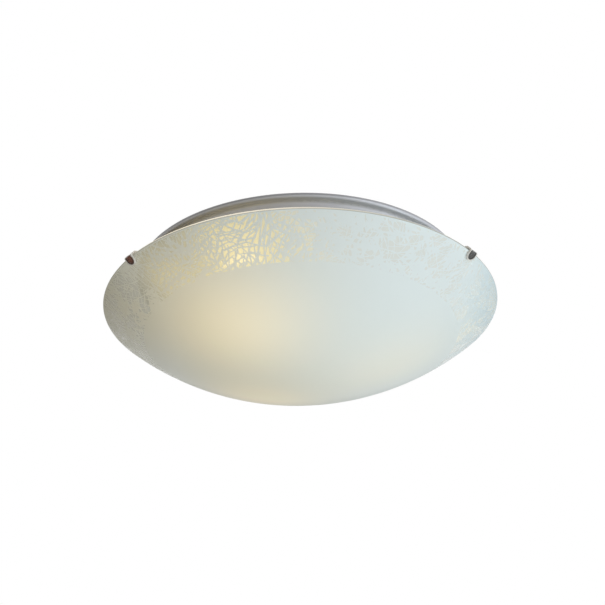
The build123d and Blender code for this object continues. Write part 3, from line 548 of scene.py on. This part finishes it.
def black_nickel(name, shade, clips, axis, rim_lean):
    """Dark plate, darker along the edges of the clip's tab as painted shade."""
    material = bpy.data.materials.new(name)
    graph = Graph(material)
    place = graph.place()
    clouds = graph.noise(place, 160.0, 2.0)
    fine = graph.noise(place, 1500.0, 2.0)
    off_centre = off_tab_centre(graph, place, clips, axis, rim_lean)
    # Painted shade: the plate darkens towards the edges of the tab.
    painted_edge_shade = graph.step(off_centre, clips.tab_half, clips.tab_half * 0.35)
    tone = graph.mix(painted_edge_shade, darker(shade, 0.22), rgba(shade))
    graph.surface(
        Base_Color=graph.mix(graph.step(clouds, 0.4, 0.6) * 0.5, tone, darker(shade, 0.6)),
        Metallic=1.0,
        Roughness=0.3 + (clouds - 0.5) * 0.1 + (fine - 0.5) * 0.06,
        Normal=graph.bump(fine, 0.00002, 0.3),
    )
    return material


def lit_bulb(name, settings, axis):
    """A coated bulb: brightest over the middle, duller towards its neck."""
    material = bpy.data.materials.new(name)
    graph = Graph(material)
    place = graph.place()
    coating = graph.noise(place, 260.0, 3.0)
    middle = settings.tip - settings.bulb_radius
    fade = graph.step(graph.along(place, axis), settings.neck_end, middle)
    level = (0.35 + 0.65 * fade) * (0.96 + 0.08 * coating)
    graph.surface(
        Base_Color=graph.mix(coating, darker(settings.glass_colour, 0.96),
                             rgba(settings.glass_colour)),
        Roughness=0.3 + (coating - 0.5) * 0.1,
        Emission_Color=graph.scaled(settings.light_colour, level),
        Emission_Strength=1.0,
        Normal=graph.bump(coating, 0.00003, 0.3),
    )
    return material


# One layer of strokes: cells per metre, distance between strokes, share of the stroke's
# width, and a shift that sets the layers apart.
STROKE_LAYERS = (
    (52.0, 0.0066, 0.9, 0.13),
    (38.0, 0.0086, 0.85, 0.41),
    (66.0, 0.0048, 0.7, 0.77),
    (56.0, 0.0070, 0.9, 1.19),
    (28.0, 0.0160, 1.1, 1.63),
)


def scribble(graph, place, stroke, openness):
    """How much of the print covers each place: strokes at random angles, in fields."""
    bend = graph.node("ShaderNodeTexNoise", inputs={"Vector": place, "Scale": 24.0, "Detail": 1.0})
    sway = graph.vector_maths("SUBTRACT", bend.outputs["Color"], (0.5, 0.5, 0.5))
    swayed = graph.sum_of(place, graph.scaled(sway.outputs["Vector"], 0.012))
    thickness = graph.noise(place, 62.0, 2.0)
    swelling = graph.step(thickness, 0.40, 0.62) * 3.0 * (1 - 0.8 * openness)
    swelling = swelling + 0.6 + 0.55 * openness
    layers = []
    for scale, spacing, weight, shift in STROKE_LAYERS:
        moved = graph.sum_of(swayed, (shift, shift * 0.7, 0.0))
        x, y, z = graph.parts(moved)
        flat = graph.vector(x, y, 0.0)
        field = graph.node(
            "ShaderNodeTexVoronoi", {"voronoi_dimensions": "2D"}, {"Vector": flat, "Scale": scale}
        )
        turn, phase, spread = graph.parts(field.outputs["Color"])
        angle = turn * math.pi
        across = x * graph.maths("COSINE", angle) + y * graph.maths("SINE", angle)
        step = spacing * (0.7 + 0.6 * spread)
        beat = graph.maths("FRACT", across / step + phase)
        off_line = abs(beat - 0.5) * step
        half_width = swelling * (stroke * weight / 2)
        layers.append(graph.step(half_width * 1.25 - off_line, 0.0, half_width * 0.5))
    return graph.largest(*layers)


# Soft round spots of light on the glass, each beside a lamp: the lamp's name, the spot's reach
# from the middle, its radius, its strength, and how far it is turned from the lamp's axis.
GLOWS = (
    ("left", 0.108, 0.048, 0.25, 0.0),
    ("left", 0.105, 0.050, 0.06, -0.60),
    ("rear", 0.084, 0.040, 0.16, 0.0),
    ("right", 0.088, 0.044, 0.10, 0.0),
)
# Painted lamp light in the glass's own colour, in the columns of GLOWS: a warm tint by each lamp.
PAINTED_LAMP_WARMTHS = (
    ("left", 0.115, 0.075, 0.95, -0.35),
    ("rear", 0.080, 0.055, 0.75, 0.0),
    ("right", 0.090, 0.045, 0.25, 0.0),
)
GOLDS = (
    ("left", 0.172, 0.030, 0.42, 0.18),
    ("left", 0.168, 0.022, 0.22, -0.28),
    ("left", 0.170, 0.024, 0.13, 0.52),
    ("rear", 0.168, 0.030, 0.30, 0.0),
    ("right", 0.168, 0.030, 0.10, 0.0),
)
EDGES = (("left", 0.2, 0.085, 1.05, 0.15),)
INNER_LIGHT = (("right", 0.085, 0.105, 0.135, -0.95),)


def spots(graph, x, y, table):
    """The sum of the soft round spots in a table."""
    total = 0.0
    for lamp, reach, spread, strength, turn in table:
        axis = Matrix.Rotation(turn, 3, "Z") @ LAMP_AXES[lamp]
        away_x = x - axis.x * reach
        away_y = y - axis.y * reach
        fall = (away_x * away_x + away_y * away_y) / (-2 * spread * spread)
        total = total + strength * graph.maths("EXPONENT", fall)
    return total


# Where the painted shade and light on the glass begin and end, as shares of the rim's radius along
# X or Y.
LEFT_SHADE = (-0.6, -0.9)
RIGHT_SHADE = (0.6, 0.95)
LOWER_HALF = (-0.7, -0.2)
SIDE_SHADE = (-0.82, -1.02)
END_SHADE = (0.80, 1.02)
BACK_SHADE = (0.30, 0.62)
LIT_WINDOW_SIDE = (-0.6, 0.1)

# The unprinted margin, the ground edge and the edge's flat face begin this far short of the
# rim, as sines of the angle from the bowl's foot; each fades in from the first to the second.
MARGIN = (0.0062, 0.0042)
EDGE = (0.0024, 0.0012)
EDGE_FACE = (0.0014, 0.0006)
# Shares of the wall, from the outside, over which its inner parts fade in or out.
OUTER_SKIN = (0.6, 0.4)
INNER_HALF = (0.4, 0.7)
BAND_FADE = 0.0012


def bowl_sphere(bowl):
    """Radius of the bowl's sphere, the height of its centre, and the sine of the rim's angle."""
    radius = (bowl.rim_radius**2 + bowl.depth**2) / (2 * bowl.depth)
    return radius, bowl.rim_height - bowl.depth + radius, bowl.rim_radius / radius


def shaded_opal(graph, bowl, x, y, tone):
    """Painted shade towards the glass's sides and back, and a cool painted light on its right."""

    def reached(place, shares):
        return graph.step(place, *(bowl.rim_radius * portion for portion in shares))

    lower = reached(y, LOWER_HALF)
    tone = graph.tinted(reached(x, LEFT_SHADE) * lower, tone, rgba(bowl.left_painted_shade))
    tone = graph.tinted(reached(x, RIGHT_SHADE) * lower, tone, rgba(bowl.right_painted_cool_light))
    tone = graph.tinted(reached(x, SIDE_SHADE), tone, rgba(bowl.far_left_painted_shade))
    tone = graph.tinted(reached(x, END_SHADE), tone, rgba(bowl.far_right_painted_shade))
    return graph.tinted(reached(y, BACK_SHADE), tone, rgba(bowl.back_painted_shade))


def opal_light(graph, bowl, x, y, window, edge, gold):
    """The lamps' light that comes through the glass, and through the clear cells."""
    inner_light = spots(graph, x, y, INNER_LIGHT) * (1 - edge)
    glow = spots(graph, x, y, GLOWS) * (1 - edge) * (1 - 0.5 * window)
    light = graph.sum_of(graph.scaled(bowl.glow_colour, glow),
                         graph.scaled(bowl.inner_colour, inner_light))
    return graph.sum_of(light, graph.scaled(bowl.gold_colour, gold))


def opal_glass(name, bowl):
    """Opal glass that the lamps shine through, with a band where it is clear between strokes."""
    material = bpy.data.materials.new(name)
    graph = Graph(material)
    place = graph.place()
    x, y, z = graph.parts(place)
    radius = graph.sqrt(x * x + y * y)
    sphere, centre, rim_lean = bowl_sphere(bowl)
    drop = z - centre
    shell = graph.sqrt(x * x + y * y + drop * drop)
    lean = radius / shell

    lamp_light = spots(graph, x, y, GOLDS)
    openness = graph.step(lamp_light, 0.0, 0.35)
    printed = scribble(graph, place, bowl.stroke, openness)
    band = graph.step(radius, bowl.band_start, bowl.band_start + BAND_FADE)
    margin, edge, edge_face = (
        graph.step(lean, *(rim_lean - short for short in fade))
        for fade in (MARGIN, EDGE, EDGE_FACE)
    )
    outside, inner_half = (
        graph.step(shell, *(sphere - bowl.wall * portion for portion in fade))
        for fade in (OUTER_SKIN, INNER_HALF)
    )
    window = band * (1 - printed) * (1 - margin)
    inner_band = band * (1 - outside) * (1 - edge)

    haze = graph.noise(place, 24.0, 3.0)
    grain = graph.noise(place, 1800.0, 1.0)
    # Painted lamp light: the glass's colour turns warm where a lamp shines through.
    lamp_warmth = graph.maths("MINIMUM", spots(graph, x, y, PAINTED_LAMP_WARMTHS), 1.0)
    opal = graph.mix(haze, darker(bowl.opal_colour, 0.985), rgba(bowl.opal_colour))
    lamp_warmed = graph.mix(lamp_warmth, opal, rgba(bowl.warm_colour))
    # Painted light in the clear cells: lighter to the right, painted shade to the left, lamp light
    # near a lamp.
    lit_cells = graph.step(x, *(bowl.rim_radius * portion for portion in LIT_WINDOW_SIDE))
    pane = graph.mix(lit_cells, rgba(bowl.shaded_window), rgba(bowl.window_colour))
    pane = graph.mix(openness, pane, rgba(bowl.lit_window))
    tone = shaded_opal(graph, bowl, x, y, graph.mix(window, lamp_warmed, pane))
    rim_tone = graph.mix(edge_face, darker(bowl.rim_colour, 0.72), rgba(bowl.rim_colour))

    light = opal_light(graph, bowl, x, y, window, edge, lamp_light * window)
    edge_light = spots(graph, x, y, EDGES) * edge_face * (0.5 + 0.5 * inner_half)
    cover = 1 - window * (1 - bowl.window_cover)
    graph.surface(
        Base_Color=graph.mix(edge, tone, rim_tone),
        Roughness=0.42 - 0.26 * window + (grain - 0.5) * 0.06,
        Specular_IOR_Level=0.15,
        Alpha=cover * (1 - inner_band),
        Emission_Color=graph.sum_of(light, graph.scaled(bowl.edge_colour, edge_light)),
        Emission_Strength=1.0,
        Normal=graph.bump(printed * band + haze * 0.4, 0.00012, 0.35),
    )
    return material


# ----------------------------------------------------------------------- meshes


def lay_along(axis, height_above):
    """Turns a mesh made about Z to a level axis that runs outward at a height."""
    turned = Matrix((UP, axis.cross(UP), axis)).transposed().to_4x4()
    return Matrix.Translation((0, 0, height_above)) @ turned


def swing(mesh, vertex, centre, angle, steps):
    """Sweeps a vertex of a section round a point of the XZ plane; gives the last vertex."""
    made = bmesh.ops.spin(
        mesh, geom=[vertex], cent=centre, axis=(0, 1, 0), angle=angle, steps=steps
    )
    return next(item for item in made["geom_last"] if isinstance(item, bmesh.types.BMVert))


def lathe(mesh, steps):
    """Turns a section in the XZ plane into a closed body about Z."""
    bmesh.ops.spin(
        mesh,
        geom=mesh.verts[:] + mesh.edges[:],
        cent=(0, 0, 0),
        axis=(0, 0, 1),
        angle=math.tau,
        steps=steps,
        use_merge=True,
    )
    bmesh.ops.remove_doubles(mesh, verts=mesh.verts[:], dist=MERGE_DISTANCE)
    bmesh.ops.recalc_face_normals(mesh, faces=mesh.faces[:])


def section(mesh, points):
    """Joins points, given as radius and height, into the line of a section."""
    corners = [mesh.verts.new((radius, 0, along)) for radius, along in points]
    for first, second in zip(corners, corners[1:]):
        mesh.edges.new((first, second))
    return corners


def new_piece(name, mesh, material, body, stands_for):
    """Gives a finished mesh its object, material and body, in place of CAD nodes."""
    data = bpy.data.meshes.new(name)
    mesh.to_mesh(data)
    mesh.free()
    data.shade_smooth()
    data.set_sharp_from_angle(angle=SMOOTH_CORNER)
    data.materials.append(material)
    piece = bpy.data.objects.new(name, data)
    bpy.context.scene.collection.objects.link(piece)
    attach(piece, body)
    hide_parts(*stands_for)
    return piece


def dress(nodes, material):
    """Gives CAD nodes a material."""
    for node in nodes:
        piece = frame["nodes"][node]
        if piece.material_slots:
            for slot in piece.material_slots:
                slot.material = material
        else:
            piece.data.materials.append(material)


# -------------------------------------------------------------------- operators


class LIGHT_OT_glass_bowl(Operator):
    """Makes the glass bowl, with its rounded rim and its scribbled band"""

    bl_idname = "ceiling_light.glass_bowl"
    bl_label = "Glass bowl"

    def execute(self, context):
        bowl = context.scene.ceiling_light.bowl
        sphere, height_of_centre, rim_lean = bowl_sphere(bowl)
        centre = (0, 0, height_of_centre)
        rim_angle = math.asin(rim_lean)
        mesh = bmesh.new()
        foot = mesh.verts.new((0, 0, height_of_centre - sphere))
        inner_foot = mesh.verts.new((0, 0, height_of_centre - sphere + bowl.wall))
        outer_rim = swing(mesh, foot, centre, -rim_angle, BOWL_STEPS)
        inner_rim = swing(mesh, inner_foot, centre, -rim_angle, BOWL_STEPS)
        mesh.edges.new((outer_rim, inner_rim))
        lathe(mesh, BOWL_SIDES)
        rim = [edge for edge in mesh.edges if edge.calc_face_angle(0) > SHARP_CORNER]
        bmesh.ops.bevel(
            mesh, geom=rim, offset=bowl.edge_round, affect="EDGES", segments=EDGE_STEPS,
            profile=0.5, material=-1,
        )
        new_piece("glass_bowl", mesh, opal_glass("opal_glass", bowl), "shade", ["shade"])
        return {"FINISHED"}


class LIGHT_OT_canopy(Operator):
    """Paints the canopy and finishes the bar, studs, nuts and rivets that hold it"""

    bl_idname = "ceiling_light.canopy"
    bl_label = "Canopy and fixings"

    def execute(self, context):
        canopy = context.scene.ceiling_light.canopy
        dress(["canopy"], satin_paint("canopy_paint", canopy.lit_paint_colour, canopy.paint_roughness))
        bar_zinc = plated_metal("bar_zinc", (0.60, 0.62, 0.64), 0.34, (1.0, 0.06, 1.0))
        dress(["mounting_bar"], bar_zinc)
        stud_zinc = threaded_metal("stud_zinc", (0.62, 0.64, 0.66), 0.3, canopy.stud_pitch,
                                   canopy.stud_top, canopy.stud_end)
        dress(["bar_studs"], stud_zinc)
        dress(["cap_nuts"], plated_metal("nut_nickel", (0.72, 0.69, 0.64), 0.18))
        rivets = plated_metal("rivet_aluminium", (0.76, 0.76, 0.77), 0.36)
        dress(["bracket_rivets", "guide_rivets"], rivets)
        dress(["cable_grommet"], moulded("grommet_rubber", (0.035, 0.035, 0.036), 0.62,
                                         depth=0.00009, stain=0.8))
        return {"FINISHED"}


class LIGHT_OT_wiring(Operator):
    """Finishes the terminal block, the earth terminal and the wires"""

    bl_idname = "ceiling_light.wiring"
    bl_label = "Terminals and wires"

    def execute(self, context):
        dress(["terminal_block"], moulded("block_plastic", (0.84, 0.84, 0.80), 0.4))
        brass = plated_metal("terminal_brass", (0.80, 0.62, 0.30), 0.3)
        dress(["terminal_clamps", "earth_screw"], brass)
        zinc = plated_metal("screw_zinc", (0.64, 0.66, 0.68), 0.28)
        dress(["terminal_screws", "terminal_fixing", "earth_washer", "holder_screws"], zinc)
        dress(["earth_lug"], plated_metal("tin_plate", (0.74, 0.73, 0.70), 0.32))
        dress(["live_wires"], insulation("brown_insulation", (0.22, 0.085, 0.035)))
        dress(["neutral_wires"], insulation("blue_insulation", (0.035, 0.14, 0.50)))
        dress(["earth_wire"], insulation("green_insulation", (0.05, 0.32, 0.07),
                                         stripe=(0.82, 0.70, 0.05)))
        return {"FINISHED"}


class LIGHT_OT_lampholders(Operator):
    """Finishes the porcelain lampholders, their sleeves, contacts and brackets"""

    bl_idname = "ceiling_light.lampholders"
    bl_label = "Lampholders"

    def execute(self, context):
        porcelain = glazed("holder_porcelain", (0.86, 0.855, 0.82), (0.35, 0.31, 0.26))
        brass = plated_metal("holder_brass", (0.80, 0.64, 0.34), 0.26)
        zinc = plated_metal("bracket_zinc", (0.60, 0.62, 0.63), 0.36, (0.08, 0.08, 1.0))
        for name in LAMP_NAMES:
            dress([f"holder_shell_{name}"], porcelain)
            dress([f"holder_sleeve_{name}", f"holder_contact_{name}"], brass)
            dress([f"holder_bracket_{name}"], zinc)
        return {"FINISHED"}


class LIGHT_OT_lamps(Operator):
    """Makes the lit bulbs and their threaded caps"""

    bl_idname = "ceiling_light.lamps"
    bl_label = "Lamps"

    def bulb_mesh(self, lamps, axis):
        middle = (0, 0, lamps.tip - lamps.bulb_radius)
        slope = lamps.shoulder - math.pi / 2
        mesh = bmesh.new()
        tip = mesh.verts.new((0, 0, lamps.tip))
        shoulder = swing(mesh, tip, middle, lamps.shoulder, BULB_STEPS)
        corner = shoulder.co.z - (shoulder.co.x - lamps.neck_radius) / math.tan(slope)
        bend_start = corner - lamps.neck_bend * math.tan(slope / 2)
        bend_centre = (lamps.neck_radius + lamps.neck_bend, 0, bend_start)
        neck_top = mesh.verts.new((lamps.neck_radius, 0, bend_start))
        bend_end = swing(mesh, neck_top, bend_centre, slope, BEND_STEPS)
        mesh.edges.new((bend_end, shoulder))
        neck_foot = mesh.verts.new((lamps.neck_radius, 0, lamps.neck_end))
        mesh.edges.new((neck_top, neck_foot))
        mesh.edges.new((neck_foot, mesh.verts.new((0, 0, lamps.neck_end))))
        lathe(mesh, LAMP_SIDES)
        bmesh.ops.transform(mesh, matrix=lay_along(axis, lamps.axis_height), verts=mesh.verts)
        return mesh

    def cap_mesh(self, lamps, axis):
        mesh = bmesh.new()
        lip = lamps.cap_skirt - lamps.neck_radius
        pitch = lamps.thread_pitch
        section(mesh, [
            (0, lamps.cap_start + lip),
            (lamps.cap_nose, lamps.cap_start),
            (lamps.cap_root, lamps.cap_start + pitch / 2),
            (lamps.cap_root, lamps.neck_end - 2 * lip),
            (lamps.cap_skirt - lip / 2, lamps.neck_end - lip),
            (lamps.cap_skirt, lamps.neck_end),
            (lamps.cap_skirt, lamps.cap_end),
            (lamps.neck_radius, lamps.cap_end),
            (lamps.neck_radius, lamps.neck_end),
            (0, lamps.neck_end),
        ])
        lathe(mesh, LAMP_SIDES)
        crest = lamps.cap_crest - lamps.cap_root
        start = lamps.cap_start + 0.9 * pitch
        before = set(mesh.verts)
        ridge = section(mesh, [
            (lamps.cap_root - crest / 2 + 1.5 * crest * math.sin(math.pi * part / THREAD_STEPS),
             start + pitch * (part / THREAD_STEPS - 0.5))
            for part in range(THREAD_STEPS + 1)
        ])
        edges = {edge for vertex in ridge for edge in vertex.link_edges}
        steps = round(THREAD_SIDES * lamps.thread_turns)
        bmesh.ops.spin(
            mesh, geom=ridge + list(edges), cent=(0, 0, 0), axis=(0, 0, 1),
            angle=math.tau * lamps.thread_turns, steps=steps,
            dvec=(0, 0, pitch * lamps.thread_turns / steps),
        )
        thread = [vertex for vertex in mesh.verts if vertex not in before]
        bmesh.ops.remove_doubles(mesh, verts=thread, dist=MERGE_DISTANCE)
        faces = {face for vertex in thread if vertex.is_valid for face in vertex.link_faces}
        bmesh.ops.recalc_face_normals(mesh, faces=list(faces))
        bmesh.ops.transform(mesh, matrix=lay_along(axis, lamps.axis_height), verts=mesh.verts)
        return mesh

    def execute(self, context):
        lamps = context.scene.ceiling_light.lamps
        nickel = plated_metal("cap_nickel", (0.70, 0.68, 0.62), 0.22)
        vitrite = glazed("cap_vitrite", (0.022, 0.022, 0.026), (0.05, 0.05, 0.06))
        tin = plated_metal("contact_tin", (0.70, 0.69, 0.66), 0.3)
        for name in LAMP_NAMES:
            axis = LAMP_AXES[name]
            coated = lit_bulb(f"lit_bulb_{name}", lamps, axis)
            new_piece(f"bulb_{name}", self.bulb_mesh(lamps, axis), coated, f"lamp_{name}",
                      [f"lamp_bulb_{name}"])
            new_piece(f"screw_cap_{name}", self.cap_mesh(lamps, axis), nickel, f"lamp_{name}",
                      [f"lamp_cap_{name}"])
            dress([f"lamp_insulator_{name}"], vitrite)
            dress([f"lamp_contact_{name}"], tin)
        return {"FINISHED"}


# Painted light: each clip's plate is browner where warm light falls, greyer where it is cool.
CLIP_LIT_COLOURS = {
    "rear": (0.075, 0.060, 0.052),
    "left": (0.105, 0.030, 0.012),
    "right": (0.075, 0.076, 0.080),
}


class LIGHT_OT_clips(Operator):
    """Finishes the glass clips and makes their springs, which shorten as a clip is pulled"""

    bl_idname = "ceiling_light.clips"
    bl_label = "Glass clips"

    def spring_mesh(self, clips, axis):
        mesh = bmesh.new()
        upright = Matrix.Rotation(math.radians(90), 4, "X")
        at_start = Matrix.Translation((clips.spring_radius, 0, clips.spring_start))
        ring = bmesh.ops.create_circle(
            mesh, segments=WIRE_SIDES, radius=clips.wire_radius, matrix=at_start @ upright
        )
        edges = {edge for vertex in ring["verts"] for edge in vertex.link_edges}
        steps = COIL_SIDES * clips.spring_turns
        rise = (clips.spring_end - clips.spring_start) / steps
        bmesh.ops.spin(
            mesh, geom=ring["verts"] + list(edges), cent=(0, 0, 0), axis=(0, 0, 1),
            angle=math.tau * clips.spring_turns, steps=steps, dvec=(0, 0, rise),
        )
        ends = [edge for edge in mesh.edges if edge.is_boundary]
        bmesh.ops.holes_fill(mesh, edges=ends, sides=0)
        bmesh.ops.recalc_face_normals(mesh, faces=mesh.faces[:])
        bmesh.ops.transform(mesh, matrix=lay_along(axis, clips.axis_height), verts=mesh.verts)
        return mesh

    def execute(self, context):
        clips = context.scene.ceiling_light.clips
        rim_lean = bowl_sphere(context.scene.ceiling_light.bowl)[2]
        zinc = plated_metal("guide_zinc", (0.62, 0.63, 0.64), 0.34)
        wire = plated_metal("spring_wire", (0.52, 0.53, 0.55), 0.26)
        for name in CLIP_NAMES:
            axis = CLIP_AXES[name]
            nickel = black_nickel(f"clip_nickel_{name}", CLIP_LIT_COLOURS[name], clips, axis, rim_lean)
            dress([f"clip_arm_{name}"], nickel)
            vinyl = clear_vinyl(f"cover_vinyl_{name}", (0.95, 0.92, 0.89), 0.03, clips, axis,
                                rim_lean)
            dress([f"clip_cover_{name}"], vinyl)
            dress([f"clip_guide_{name}", f"clip_washer_{name}"], zinc)
            coil = new_piece(f"coil_{name}", self.spring_mesh(clips, axis), wire, "root",
                             [f"clip_spring_{name}"])
            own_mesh(coil)
        return {"FINISHED"}


# Each studio light's name, place, size, power in watts and colour
STUDIO_LIGHTS = (
    ("key", (2.3, -0.9, -1.5), 1.4, 28.0, (0.87, 0.97, 1.0)),
    ("fill", (-1.9, -1.7, -1.3), 1.6, 1.6, (1.0, 0.90, 0.72)),
    ("front", (2.0, -2.0, 0.6), 1.2, 13.0, (0.96, 0.98, 1.0)),
    ("top", (0.6, 1.4, 1.9), 1.6, 6.0, (1.0, 1.0, 1.0)),
)


class LIGHT_OT_stage(Operator):
    """Sets up the floor, the studio light, the room and the camera"""

    bl_idname = "ceiling_light.stage"
    bl_label = "Stage"

    def in_view(self, graph):
        """1 on the rays by which the camera, metal and glass see a surface, else 0."""
        ray = graph.node("ShaderNodeLightPath").outputs
        kinds = ("Is Camera Ray", "Is Glossy Ray", "Is Transmission Ray")
        return graph.largest(*(Signal(graph, ray[kind]) for kind in kinds))

    def add_floor(self, stage):
        mesh = bmesh.new()
        bmesh.ops.create_grid(
            mesh, x_segments=8, y_segments=8, size=FLOOR_HALF,
            matrix=Matrix.Translation((0, 0, stage.floor_height)),
        )
        data = bpy.data.meshes.new("floor")
        mesh.to_mesh(data)
        mesh.free()
        floor = bpy.data.objects.new("floor", data)
        bpy.context.scene.collection.objects.link(floor)
        material = bpy.data.materials.new("floor_plaster")
        graph = Graph(material)
        clouds = graph.noise(graph.place(), 3.0, 4.0)
        graph.surface(
            Base_Color=graph.mix(clouds, darker(stage.floor_colour, 0.97),
                                 rgba(stage.floor_colour)),
            Roughness=0.8 + (clouds - 0.5) * 0.1,
            Emission_Color=graph.scaled(stage.floor_lift, self.in_view(graph)),
            Emission_Strength=1.0,
        )
        data.materials.append(material)

    def add_light(self, name, place, size, power, shade, target):
        data = bpy.data.lights.new(name, "AREA")
        data.shape = "DISK"
        data.size = size
        data.energy = power
        data.color = shade
        light = bpy.data.objects.new(name, data)
        light.location = place
        aim = Vector(target) - Vector(place)
        light.rotation_euler = aim.to_track_quat("-Z", "Y").to_euler()
        bpy.context.scene.collection.objects.link(light)

    def add_room(self, stage):
        world = bpy.data.worlds.new("room")
        bpy.context.scene.world = world
        graph = Graph(world)
        room = graph.node("ShaderNodeBackground", inputs={"Color": rgba(stage.room_colour)})
        white = graph.node("ShaderNodeBackground", inputs={"Color": (1, 1, 1, 1)})
        shown = graph.node(
            "ShaderNodeMixShader",
            inputs={0: self.in_view(graph), 1: room.outputs[0], 2: white.outputs[0]},
        )
        graph.node("ShaderNodeOutputWorld", inputs={"Surface": shown.outputs[0]})

    def add_camera(self, stage):
        data = bpy.data.cameras.new("camera")
        data.sensor_width = 36.0
        data.lens = stage.focal_length
        data.shift_x = stage.shift_x
        data.shift_y = stage.shift_y
        data.clip_start = 0.01
        data.clip_end = 50.0
        camera = bpy.data.objects.new("camera", data)
        ahead = Vector((0, math.cos(stage.elevation), math.sin(stage.elevation)))
        right = Vector((1, 0, 0))
        facing = Matrix((right, right.cross(ahead), -ahead)).transposed().to_4x4()
        spot = Vector((0, 0, stage.aim_height)) - ahead * stage.distance
        lean = Matrix.Rotation(stage.roll, 4, "Z")
        camera.matrix_world = Matrix.Translation(spot) @ facing @ lean
        bpy.context.scene.collection.objects.link(camera)
        bpy.context.scene.camera = camera

    def execute(self, context):
        light = context.scene.ceiling_light
        self.add_floor(light.stage)
        self.add_room(light.stage)
        for lamp in STUDIO_LIGHTS:
            self.add_light(*lamp, (0, 0, light.stage.aim_height))
        self.add_camera(light.stage)
        context.scene.view_settings.view_transform = "Standard"
        return {"FINISHED"}


class LIGHT_PT_panel(Panel):
    """Lists the operators that make the ceiling light"""

    bl_idname = "LIGHT_PT_panel"
    bl_label = "Ceiling light"
    bl_space_type = "VIEW_3D"
    bl_region_type = "UI"
    bl_category = "Ceiling light"

    def draw(self, context):
        for operator in OPERATORS:
            self.layout.operator(operator.bl_idname)


OPERATORS = (
    LIGHT_OT_glass_bowl,
    LIGHT_OT_canopy,
    LIGHT_OT_wiring,
    LIGHT_OT_lampholders,
    LIGHT_OT_lamps,
    LIGHT_OT_clips,
    LIGHT_OT_stage,
)
CLASSES = (
    BowlSettings,
    CanopySettings,
    LampSettings,
    ClipSettings,
    StageSettings,
    CeilingLightSettings,
    *OPERATORS,
    LIGHT_PT_panel,
)


def register():
    for kind in CLASSES:
        bpy.utils.register_class(kind)
    bpy.types.Scene.ceiling_light = PointerProperty(type=CeilingLightSettings)


def unregister():
    del bpy.types.Scene.ceiling_light
    for kind in reversed(CLASSES):
        bpy.utils.unregister_class(kind)


def main():
    register()
    bpy.ops.ceiling_light.glass_bowl()
    bpy.ops.ceiling_light.canopy()
    bpy.ops.ceiling_light.wiring()
    bpy.ops.ceiling_light.lampholders()
    bpy.ops.ceiling_light.lamps()
    bpy.ops.ceiling_light.clips()
    bpy.ops.ceiling_light.stage()


if __name__ == "__main__":
    main()
